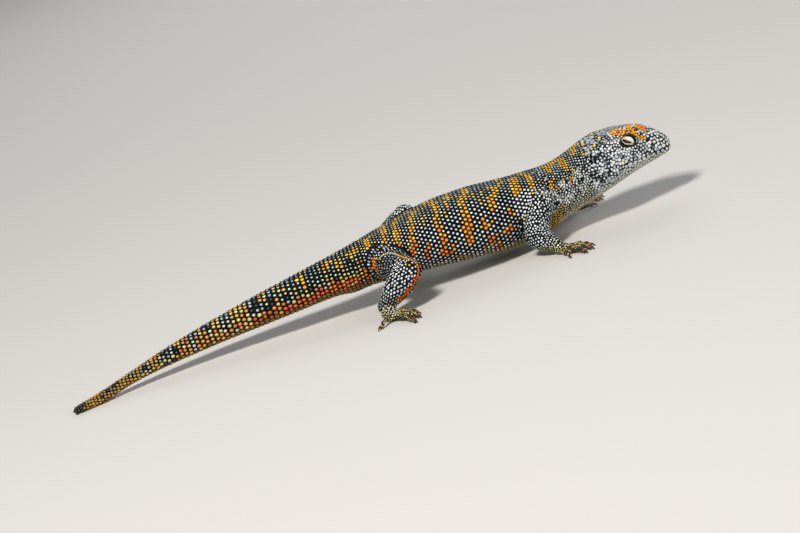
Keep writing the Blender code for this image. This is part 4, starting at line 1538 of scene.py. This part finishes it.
def outlines(coat):
    """Each scale's axes, and its reach at every angle, up to half way to its neighbours."""
    tree = tree_of(coat.roots)
    turn = 2 * np.pi * np.arange(SIDES) / SIDES
    normals = coat.normals / np.linalg.norm(coat.normals, axis=1, keepdims=True)
    lie = coat.lies - normals * (coat.lies * normals).sum(1, keepdims=True)
    size = np.linalg.norm(lie, axis=1, keepdims=True)
    lie = np.where(size > 0.15, lie / np.maximum(size, 1e-6), np.cross(normals, (0.0, 1.0, 0.0)))
    lie /= np.maximum(np.linalg.norm(lie, axis=1, keepdims=True), 1e-6)
    across = np.cross(normals, lie)
    near = np.array([[j for _, j, _ in tree.find_n(root, NEAR + 1)][1:] for root in coat.roots])
    gap = coat.roots[near] - coat.roots[:, None, :]
    u = (gap * lie[:, None, :]).sum(2)
    v = (gap * across[:, None, :]).sum(2)
    flat = np.maximum(np.hypot(u, v), 1e-6)
    half = np.linalg.norm(gap, axis=2) / 2
    facing = (normals[near] * normals[:, None, :]).sum(2) > -0.1
    cosine = (u / flat)[:, :, None] * np.cos(turn) + (v / flat)[:, :, None] * np.sin(turn)
    pull = np.where(facing[:, :, None], np.maximum(cosine, 0.0) / half[:, :, None], 0.0) ** POWER
    widest = 0.66 * coat.pitch
    reach = (pull.sum(1) + (1 / widest[:, None]) ** POWER) ** (-1 / POWER)
    return turn, lie, across, normals, reach


def ground_heights(coat, turn, lie, across, normals, reach):
    """The ways out to the scales' rims, and how far the skin falls away below each rim point."""
    ways = (np.cos(turn)[None, :, None] * lie[:, None, :]
            + np.sin(turn)[None, :, None] * across[:, None, :])
    rims = coat.roots[:, None, :] + ways * reach[:, :, None]
    spots, _, _ = coat.ground.nearest(rims.reshape(-1, 3))
    fall = ((spots.reshape(rims.shape) - coat.roots[:, None, :]) * normals[:, None, :]).sum(2)
    return ways, np.clip(fall, -0.8 * reach, 0.35 * reach)


# The unwrap, from 0 to 1 each way: the body fills the upper part. Below it stand the limbs, one
# beside the other, each with its two bones over the upper side and the underside of its paddle

def bone_chart(points, start, end, left):
    """Places on the unwrap of a bone's skin: along it, and round it."""
    start, end = np.array(start), np.array(end)
    length = np.linalg.norm(end - start)
    way = (end - start) / length
    side = np.cross(way, (0, 0, 1.0))
    side /= np.linalg.norm(side)
    spot = points - start
    angle = np.arctan2(spot @ np.cross(side, way), spot @ side)
    along = np.clip((spot @ way) / length, -0.2, 1.2)
    return np.stack([left + 0.075 * along, 0.21 + 0.19 * (angle + np.pi) / (2 * np.pi)], 1)


def paddle_chart(coat, limb, left):
    """Places on the unwrap of a hand or foot, its underside apart, and the distance to it."""
    heading = np.array(heading_of(limb.heading))
    side = np.array((-heading[1], heading[0], 0.0))
    wrist = np.array(limb.end) * (1, 1, 0)
    tip = wrist + heading * (10.0 if limb.arm else 15.0)
    away, _ = segment_distance(coat.roots, wrist + heading * 0.8, tip)
    spot = coat.roots - wrist
    left = left + np.where(coat.normals[:, 2] < 0, 0.12, 0.0)
    u = left + 0.115 * np.clip((spot @ heading + 2) / 20, 0, 1)
    v = 0.01 + 0.18 * np.clip((spot @ side + 9) / 18, 0, 1)
    return np.stack([u, v], 1), away


# The body's length on the unwrap of the skin, with a little to spare
CHART_LENGTH = 178


def chart(coat):
    """Each scale's place on an unwrap of the skin: body by x and angle, limbs each on its own."""
    points = coat.roots
    top, bottom, _, aside = section(points[:, 0])
    around = np.arctan2(points[:, 2] - (top + bottom) / 2, points[:, 1] - aside)
    along = 0.01 + 0.98 * points[:, 0] / CHART_LENGTH
    up = 0.42 + 0.56 * (around + np.pi) / (2 * np.pi)
    uv = np.stack([along, up], 1)
    on_limb = (coat.kind == LIMB_PART) | (coat.kind == DIGIT_PART)
    best = np.full(len(points), 99.0)
    for number, limb in enumerate(LIMBS):
        base = 0.01 + 0.247 * number
        for part in (0, 1):
            start, end, _ = bone(limb, part)
            away, _ = segment_distance(points, start, end)
            use = on_limb & (away < best)
            uv[use] = bone_chart(points, start, end, base + 0.12 * part + 0.02)[use]
            best = np.where(use, away, best)
        places, away = paddle_chart(coat, limb, base)
        use = on_limb & (points[:, 2] < 4.2) & (away < 7.0) & (away < best + 2.0)
        uv[use] = places[use]
    return uv


def spot_shares(look, turn, reach):
    """How far the spot reaches at every angle, as a share of the scale's reach."""
    # A spot is an ellipse along the scale's lie, short of the rim; a plate's follows its outline
    mean = reach.mean(1)
    long = look.ratio * mean * np.sqrt(look.aspect)
    short = look.ratio * mean / np.sqrt(look.aspect)
    ahead, beside = np.cos(turn) / long[:, None], np.sin(turn) / short[:, None]
    ellipse = 1 / np.sqrt(ahead ** 2 + beside ** 2)
    way = 2 * np.pi * look.luck[:, 0:1] * 7.0
    ellipse = ellipse + (look.shift * mean)[:, None] * np.cos(turn[None, :] - way)
    spot = np.clip(ellipse / reach, 0.12, 0.86)
    plate = np.maximum(step(0.72, 0.84, look.ratio), look.plate)[:, None]
    return spot + (np.minimum(look.ratio, 0.9)[:, None] - spot) * plate


def ring_height(look, turn, share, reach, fall):
    """How high the points of a ring stand over the root, at a share of the scale's reach."""
    dome = look.height[:, None] * np.maximum(1 - share ** look.flat[:, None], 0) ** 0.6
    lift = look.lift[:, None] * share * np.maximum(np.cos(turn), -0.6)
    ridge = look.keel[:, None] * np.exp(-((np.sin(turn)[None, :] * reach * share) / 0.16) ** 2)
    ridge = ridge * (1 - share ** 4)
    return fall * share ** 2 + dome + lift + ridge


def make_scales(coat, look):
    """The points, the colours and the places on the unwrap of all the scales."""
    turn, lie, across, normals, reach = outlines(coat)
    rear = np.maximum(np.cos(turn), 0.0)
    reach = reach * (1 + 0.1 * rear * (look.lift > 0.02)[:, None]) - look.gap[:, None]
    reach = np.maximum(reach, LEAST_REACH)
    ways, fall = ground_heights(coat, turn, lie, across, normals, reach)
    spot = spot_shares(look, turn, reach)
    shares = [np.ones_like(spot), np.maximum(spot + 0.03, 0.93), np.minimum(spot + 0.05, 0.95),
              spot, spot * 0.5]
    rings = []
    for number, share in enumerate(shares):
        up = ring_height(look, turn, share, reach, fall) - (SUNK if number == 0 else 0.0)
        point = coat.roots[:, None, :] + ways * (reach * share)[:, :, None]
        rings.append(point + normals[:, None, :] * up[:, :, None])
    tip = coat.roots + normals * (look.height + look.keel)[:, None]
    points = np.concatenate(rings + [tip[:, None, :]], 1)
    points[:, :, 2] = np.maximum(points[:, :, 2], 0.01)
    # The rim's colour on the outer three rings, the spot's on the fourth, and the painted highlight
    # on the inner ring and the tip.
    colour = np.concatenate([
        np.repeat(look.rim[:, None, :], 3 * SIDES, 1),
        np.repeat(look.spot[:, None, :], SIDES, 1),
        np.repeat(look.core[:, None, :], SIDES + 1, 1),
    ], 1)
    dash_marks(look, points, colour)
    local = [np.stack([np.cos(turn) * share, np.sin(turn) * share], 2) for share in shares]
    local = np.concatenate(local + [np.zeros((len(spot), 1, 2))], 1)
    return points, colour, chart(coat)[:, None, :] + local * PATCH


def set_marks(obj, colours):
    """Gives each point of a mesh its colour, for the materials to read."""
    rgba = np.concatenate([colours, np.ones((len(colours), 1))], 1)
    marks = obj.data.color_attributes.new(MARKS, "FLOAT_COLOR", "POINT")
    marks.data.foreach_set("color", rgba.astype(np.float32).ravel())


def scale_piece(name, points, colour, uv):
    """One object of separate scales, with their marks and their places for baking."""
    count, each = points.shape[:2]
    i = np.arange(SIDES)
    j = (i + 1) % SIDES
    quads = np.concatenate([
        np.stack([r * SIDES + i, r * SIDES + j, (r + 1) * SIDES + j, (r + 1) * SIDES + i], 1)
        for r in range(RINGS - 1)
    ])
    last = (RINGS - 1) * SIDES
    fans = np.stack([last + i, last + j, np.full(SIDES, RINGS * SIDES)], 1)
    base = np.arange(count)[:, None, None] * each
    obj = mesh_object(name, points.reshape(-1, 3), (quads[None] + base).reshape(-1, 4),
                      (fans[None] + base).reshape(-1, 3))
    set_marks(obj, colour.reshape(-1, 3))
    corner = np.empty(len(obj.data.loops), dtype=np.int32)
    obj.data.loops.foreach_get("vertex_index", corner)
    layer = obj.data.uv_layers.new(name="OFBake")
    layer.data.foreach_set("uv", uv.reshape(-1, 2)[corner].astype(np.float32).ravel())
    return obj


# Materials

MARKS = "marks"


def new_material(name, roughness, specular=0.3):
    material = bpy.data.materials.new(name)
    material.use_nodes = True
    nodes, links = material.node_tree.nodes, material.node_tree.links
    shader = nodes["Principled BSDF"]
    shader.inputs["Roughness"].default_value = roughness
    shader.inputs["Specular IOR Level"].default_value = specular
    return material, nodes, links, shader


def noise_node(nodes, links, scale, detail):
    """Cloudy noise over the object's own space."""
    coordinates = nodes.new("ShaderNodeTexCoord")
    noise = nodes.new("ShaderNodeTexNoise")
    noise.inputs["Scale"].default_value = scale
    noise.inputs["Detail"].default_value = detail
    noise.inputs["Roughness"].default_value = 0.55
    links.new(coordinates.outputs["Object"], noise.inputs["Vector"])
    return noise


def ramp_node(nodes, links, source, low, high):
    """The middle of a noise, spread from low to high."""
    ramp = nodes.new("ShaderNodeMapRange")
    for name, value in (("From Min", 0.3), ("From Max", 0.7), ("To Min", low), ("To Max", high)):
        ramp.inputs[name].default_value = value
    links.new(source, ramp.inputs["Value"])
    return ramp.outputs["Result"]


def clouded_marks(nodes, links, shader, noise, low, high):
    """Colours the shader with the mesh's marks, made darker and lighter by a noise."""
    marks = nodes.new("ShaderNodeAttribute")
    marks.attribute_name = MARKS
    mix = nodes.new("ShaderNodeVectorMath")
    mix.operation = "MULTIPLY"
    links.new(marks.outputs["Color"], mix.inputs[0])
    links.new(ramp_node(nodes, links, noise.outputs["Fac"], low, high), mix.inputs[1])
    links.new(mix.outputs["Vector"], shader.inputs["Base Color"])


def scale_material(name, roughness, bump=0.25):
    """Scales: the marks of each, with fine cloudiness, and a fine grain."""
    material, nodes, links, shader = new_material(name, roughness, 0.16)
    cloud = noise_node(nodes, links, 2600.0, 4.0)
    clouded_marks(nodes, links, shader, cloud, 0.78, 1.12)
    rough = ramp_node(nodes, links, cloud.outputs["Fac"], roughness - 0.08, roughness + 0.14)
    links.new(rough, shader.inputs["Roughness"])
    grain = noise_node(nodes, links, 9000.0, 2.0)
    relief = nodes.new("ShaderNodeBump")
    relief.inputs["Strength"].default_value = bump
    relief.inputs["Distance"].default_value = 0.00006
    links.new(grain.outputs["Fac"], relief.inputs["Height"])
    links.new(relief.outputs["Normal"], shader.inputs["Normal"])
    return material


def claw_material():
    material, nodes, links, shader = new_material("claw_horn", 0.32)
    clouded_marks(nodes, links, shader, noise_node(nodes, links, 3500.0, 3.0), 0.75, 1.15)
    return material


def eye_material():
    """A dark brown, cloudy ball under a clear coat."""
    material, nodes, links, shader = new_material("eye_gloss", 0.06, 0.7)
    noise = noise_node(nodes, links, 2500.0, 3.0)
    tint = nodes.new("ShaderNodeMapRange")
    tint.data_type = "FLOAT_VECTOR"
    # the sockets for vectors: value, then from min, from max, to min and to max
    value, *limits = tint.inputs[6:11]
    for limit, vector in zip(limits, (
        (0.3, 0.3, 0.3), (0.7, 0.7, 0.7), (0.006, 0.004, 0.003), (0.05, 0.026, 0.012),
    )):
        limit.default_value = vector
    links.new(noise.outputs["Fac"], value)
    links.new(tint.outputs["Vector"], shader.inputs["Base Color"])
    shader.inputs["Coat Weight"].default_value = 0.6
    shader.inputs["Coat Roughness"].default_value = 0.03
    return material


def paint_skin(obj, points):
    """The skin between the scales: blackish, paler under the throat, belly and feet."""
    angle = body_angle(points)
    x = points[:, 0]
    colour = np.tile(BLACK, (len(points), 1))
    low = (1 - step(-46, -32, angle)) * (x > 84)
    colour = mixed(colour, tone(92, 88, 54), 0.8 * low)
    chin = (1 - step(-52, -28, angle)) * step(140, 147, x)
    colour = mixed(colour, tone(150, 148, 128), 0.85 * chin)
    tail_low = (1 - step(-40, -25, angle)) * (x <= 84)
    colour = mixed(colour, tone(70, 56, 28), tail_low)
    colour = mixed(colour, tone(66, 52, 28), 0.8 * digit_mask(points))
    head = step(153, 158, x) * (1 - chin)
    colour = mixed(colour, tone(40, 44, 48), head)
    # Painted shade: near black inside the openings of the ears and the nostrils.
    colour[(ear_share(points) < 1.0) | (nostril_share(points) < 0.9)] = tone(5, 6, 7)
    colour[np.abs(mouth_gap(points)) < 0.22] = tone(20, 16, 14)
    set_marks(obj, colour)


# Eyes, lids and claws

def make_eye(side, word, material):
    """The ball in the socket of one eye."""
    eye = ellipsoid("eye_" + word + "_ball", mirrored(EYE, side), (EYE_RADIUS,) * 3, 28, 36)
    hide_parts("eye_" + word)
    return finished(eye, material)


# The lids' tilt, and in mm: half the length of their line, their reach above and below it, the
# slit's drop below the eye's middle, its place along the line, half length and opening, the dome's
# height over the eye's middle, and the width of the groove round them
LID_TILT = math.radians(41)
LID_HALF = 1.75
LID_UP = 1.35
LID_DOWN = 1.05
SLIT_DROP = 0.2
SLIT_BACK = 0.28
SLIT_HALF = 1.3
SLIT_OPEN = 0.82
LID_FRONT = 2.2
LID_GROOVE = 0.22
LID_COLUMNS = 48
LID_ROWS = 14
# The slit's lining: how deep below the dome, and how far from the slit's edge
LINING = ((0.62, 0.06), (0.42, 0.02), (0.2, 0.0), (0.06, 0.02))
GROOVE_DEPTHS = (0.34, 0.36, 0.42, 0.62)


def lid_point(side, a, b, sunk):
    """A place on the lids' dome: a along the slit, b across it, in mm, sunk below its surface."""
    x = a * math.cos(LID_TILT) + b * math.sin(LID_TILT)
    z = -a * math.sin(LID_TILT) + b * math.cos(LID_TILT)
    share = min(0.98, (x / LIDS.x) ** 2 + (z / LIDS.z) ** 2)
    out = math.sqrt(1 - share)
    scale = 1 - sunk / LID_FRONT
    return (EYE.x + x * (0.5 + 0.5 * scale), side * (EYE.y + out * LID_FRONT * scale),
            EYE.z + z * (0.5 + 0.5 * scale))


def lid_tint(a, share, upper):
    """Cream, pinker at the back corner, with a brown margin, and dark in the groove round it."""
    pink = 0.65 * float(step(0.1, 1.3, -a)) * (1.0 if upper else 0.5)
    tint = mixed(CREAM, tone(206, 160, 138), pink)
    if not upper:
        tint = mixed(tint, tone(202, 196, 166), 0.5)
    tint = mixed(tint, tone(96, 58, 44), 0.75 * float(1 - step(0.0, 0.1, share)))
    return mixed(tint, tone(26, 25, 16), float(step(0.86, 1.0, share)))


def lid_column(side, upper, a):
    """One column of a lid at a along the slit: its points and colours, from the slit outwards."""
    sign = 1.0 if upper else -1.0
    height = (LID_UP + SLIT_DROP) if upper else (LID_DOWN - SLIT_DROP)
    line = -SLIT_DROP + 0.07 * math.sin(2.2 * a)
    t = (a + SLIT_BACK) / SLIT_HALF
    inner = SLIT_OPEN / 2 * math.sqrt(max(0.0, 1 - t * t)) * (1 - 0.3 * t)
    outer = height * math.sqrt(max(0.0, 1 - (a / LID_HALF) ** 2)) ** 0.9
    outer = max(outer, inner)
    widest = (LID_HALF + LID_GROOVE) * 1.001
    rim = (height + LID_GROOVE) * math.sqrt(max(0.0, 1 - (a / widest) ** 2))
    rim = max(rim, outer)
    steps = [(sunk, inner + more, tone(70, 40, 32)) for sunk, more in LINING]
    for j in range(1, LID_ROWS + 1):
        share = j / LID_ROWS
        wrinkle = 0.025 * math.sin(share * 14 + a) * math.sin(math.pi * share)
        edge = 0.26 * max(0.0, share - 0.75) / 0.25
        sunk, b = wrinkle + edge * share, inner + (outer - inner) * share
        steps.append((sunk, b, lid_tint(a, share, upper)))
    for j, sunk in enumerate(GROOVE_DEPTHS):
        tint = mixed(tone(26, 25, 16), tone(52, 50, 34), j / 3)
        steps.append((sunk, outer + (rim - outer) * (j + 1) / 4, tint))
    points = [lid_point(side, a, line + sign * b, sunk) for sunk, b, _ in steps]
    return points, [tint for _, _, tint in steps]


def make_lid(side, word, upper, material):
    """One eyelid from the slit to its rim, and on into the dark groove round the lids."""
    reach = LID_HALF + LID_GROOVE
    columns = [lid_column(side, upper, -reach + 2 * reach * i / LID_COLUMNS)
               for i in range(LID_COLUMNS + 1)]
    grid = np.array([points for points, _ in columns])
    colours = np.array([tints for _, tints in columns])
    wide = grid.shape[1]
    i = np.arange(LID_COLUMNS)[:, None]
    j = np.arange(wide - 1)[None, :]
    here, there = i * wide + j, (i + 1) * wide + j
    quads = np.stack([here, there, there + 1, here + 1], -1).reshape(-1, 4)
    if (side > 0) == upper:
        quads = quads[:, ::-1]
    obj = mesh_object(("upper" if upper else "lower") + "_lid_" + word, grid.reshape(-1, 3), quads)
    set_marks(obj, colours.reshape(-1, 3))
    thick = obj.modifiers.new("thick", "SOLIDIFY")
    thick.thickness = 0.1 * MM
    thick.offset = -1.0
    return finished(obj, material)


def make_claws(limb, material):
    """The hooked claws of one hand or foot."""
    sides, steps = 12, 12
    shade = np.repeat(np.linspace(0, 1, steps + 1), sides)
    tint = mixed(tone(176, 108, 44), tone(38, 22, 14), step(0.05, 0.6, shade))
    pieces, colours = [], []
    for index in range(5):
        root, _, along = digit_path(limb, index, 0.86)
        centres, radii = [], []
        for share in (k / steps for k in range(steps + 1)):
            point = root + along * (CLAW_LENGTH * share + 0.1)
            point.z = root.z + 0.28 * math.sin(math.pi * share) - (root.z - 0.12) * share ** 2
            centres.append(point)
            radii.append(CLAW_RADIUS * (1.0 - 0.85 * share ** 1.3) + 0.02)
        pieces.append(tube("claw", centres, radii, sides, 1.15))
        colours += [tint, tint[:1], tint[-1:]]
    claws = merged("claws_" + limb.name, pieces)
    claws.data.shade_smooth()
    set_marks(claws, np.concatenate(colours))
    return finished(claws, material)


# Camera, floor and light. The camera looks square to the animal's side and down by DROP, rolled by
# ROLL, and AIM is where the photo's middle lies from the working frame's origin, in photo pixels

ROLL = math.radians(20.5)
DROP = math.radians(15)
AIM = (325, 148.5)
PHOTO_WIDTH = 800
PIXELS_PER_MM = 3.7
LENS = 135.0
SENSOR = 36.0
FLOOR_HALF = 1.6
LIGHTS_AIM = Vector((0.0, 0.0, 0.01))


def make_camera():
    ahead = Vector((0, math.cos(DROP), -math.sin(DROP)))
    level = Vector((1, 0, 0))
    rise = Vector((0, math.sin(DROP), math.cos(DROP)))
    right = level * math.cos(ROLL) - rise * math.sin(ROLL)
    up = level * math.sin(ROLL) + rise * math.cos(ROLL)
    target = right * (AIM[0] / PIXELS_PER_MM) + up * (AIM[1] / PIXELS_PER_MM) - Vector(MIDDLE)
    distance = (PHOTO_WIDTH / PIXELS_PER_MM) * LENS / SENSOR
    data = bpy.data.cameras.new("camera")
    data.lens = LENS
    data.sensor_width = SENSOR
    data.clip_start = 0.01
    camera = linked("camera", data)
    turn = Matrix((right, up, -ahead)).transposed().to_4x4()
    camera.matrix_world = Matrix.Translation((target - ahead * distance) * MM) @ turn
    bpy.context.scene.camera = camera


def make_floor():
    data = bpy.data.meshes.new("floor")
    corners = [(-1, -1), (1, -1), (1, 1), (-1, 1)]
    data.from_pydata([(x * FLOOR_HALF, y * FLOOR_HALF, 0) for x, y in corners], [], [(0, 1, 2, 3)])
    material, _, _, shader = new_material("floor_pale", 0.8)
    shader.inputs["Base Color"].default_value = (0.62, 0.60, 0.57, 1)
    data.materials.append(material)
    linked("floor", data)


def area_light(name, position, size, power, colour):
    data = bpy.data.lights.new(name, "AREA")
    data.energy, data.size, data.color = power, size, colour
    light = linked(name, data)
    light.location = position
    light.rotation_euler = (LIGHTS_AIM - Vector(position)).to_track_quat("-Z", "Y").to_euler()


def make_lights():
    area_light("key", (-0.2, -0.4, 0.75), 0.2, 7.2, (1.0, 0.97, 0.93))
    area_light("fill", (0.6, -0.6, 0.3), 0.6, 2.3, (0.95, 0.97, 1.0))
    area_light("back", (0.1, 0.7, 0.5), 0.5, 1.8, (1.0, 1.0, 1.0))
    world = bpy.data.worlds.new("world")
    world.use_nodes = True
    sky = world.node_tree.nodes["Background"]
    sky.inputs["Color"].default_value = (0.75, 0.8, 0.88, 1)
    sky.inputs["Strength"].default_value = 0.25
    bpy.context.scene.world = world
    bpy.context.scene.view_settings.view_transform = "Standard"


def body_scales(low, high):
    """Chooses the scales of the trunk and neck between two places along the body."""
    return lambda x, y, kind: (kind == BODY) & (x >= low) & (x < high)


def limb_scales(side, front):
    """Chooses the scales of the limb on one side, of the front pair or the hind one."""
    return lambda x, y, kind: (kind >= LIMB_PART) & (side * y > 0) & ((x > BETWEEN_LIMBS) == front)


# The pieces of the coat: name, slot, and which of the scales they hold
PIECES = (
    ("tail_scales", "tail_skin", lambda x, y, kind: kind == TAIL_PART),
    ("rump_scales", "trunk_skin", body_scales(-math.inf, 107)),
    ("flank_scales", "trunk_skin", body_scales(107, 128)),
    ("shoulder_scales", "trunk_skin", body_scales(128, math.inf)),
    ("head_scales", "head_skin", lambda x, y, kind: kind == HEAD_PART),
    ("right_arm_scales", "limb_skin", limb_scales(-1, True)),
    ("left_arm_scales", "limb_skin", limb_scales(1, True)),
    ("right_leg_scales", "limb_skin", limb_scales(-1, False)),
    ("left_leg_scales", "limb_skin", limb_scales(1, False)),
)


def make_scale_pieces(coat):
    """The coat of separate scales, in its pieces."""
    points, colour, uv = make_scales(coat, make_look(coat))
    beads = scale_material("scale_beads", 0.42)
    plates = scale_material("scale_plates", 0.5)
    x, y = coat.roots[:, 0], coat.roots[:, 1]
    for name, slot, choose in PIECES:
        some = choose(x, y, coat.kind)
        piece = scale_piece(name, points[some], colour[some], uv[some])
        finished(piece, plates if name == "head_scales" else beads)


def dress_skin(skin, points):
    """Colours the skin, which stands for all the solids but the eyes."""
    paint_skin(skin, points)
    skin.data.materials.clear()
    flesh = [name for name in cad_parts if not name.startswith("eye_")]
    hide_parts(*flesh)
    finished(skin, scale_material("skin_between", 0.6, 0.4))


def make_eyes_and_claws():
    lid_look = scale_material("lid_skin", 0.5, 0.3)
    eye_look = eye_material()
    claw_look = claw_material()
    for side, word in ((-1, "right"), (1, "left")):
        make_eye(side, word, eye_look)
        for upper in (True, False):
            make_lid(side, word, upper, lid_look)
    for limb in LIMBS:
        make_claws(limb, claw_look)


def main():
    make_camera()
    make_floor()
    make_lights()
    skin = make_skin()
    ground = Ground(skin)
    make_scale_pieces(make_coat(ground))
    dress_skin(skin, ground.points)
    make_eyes_and_claws()


main()
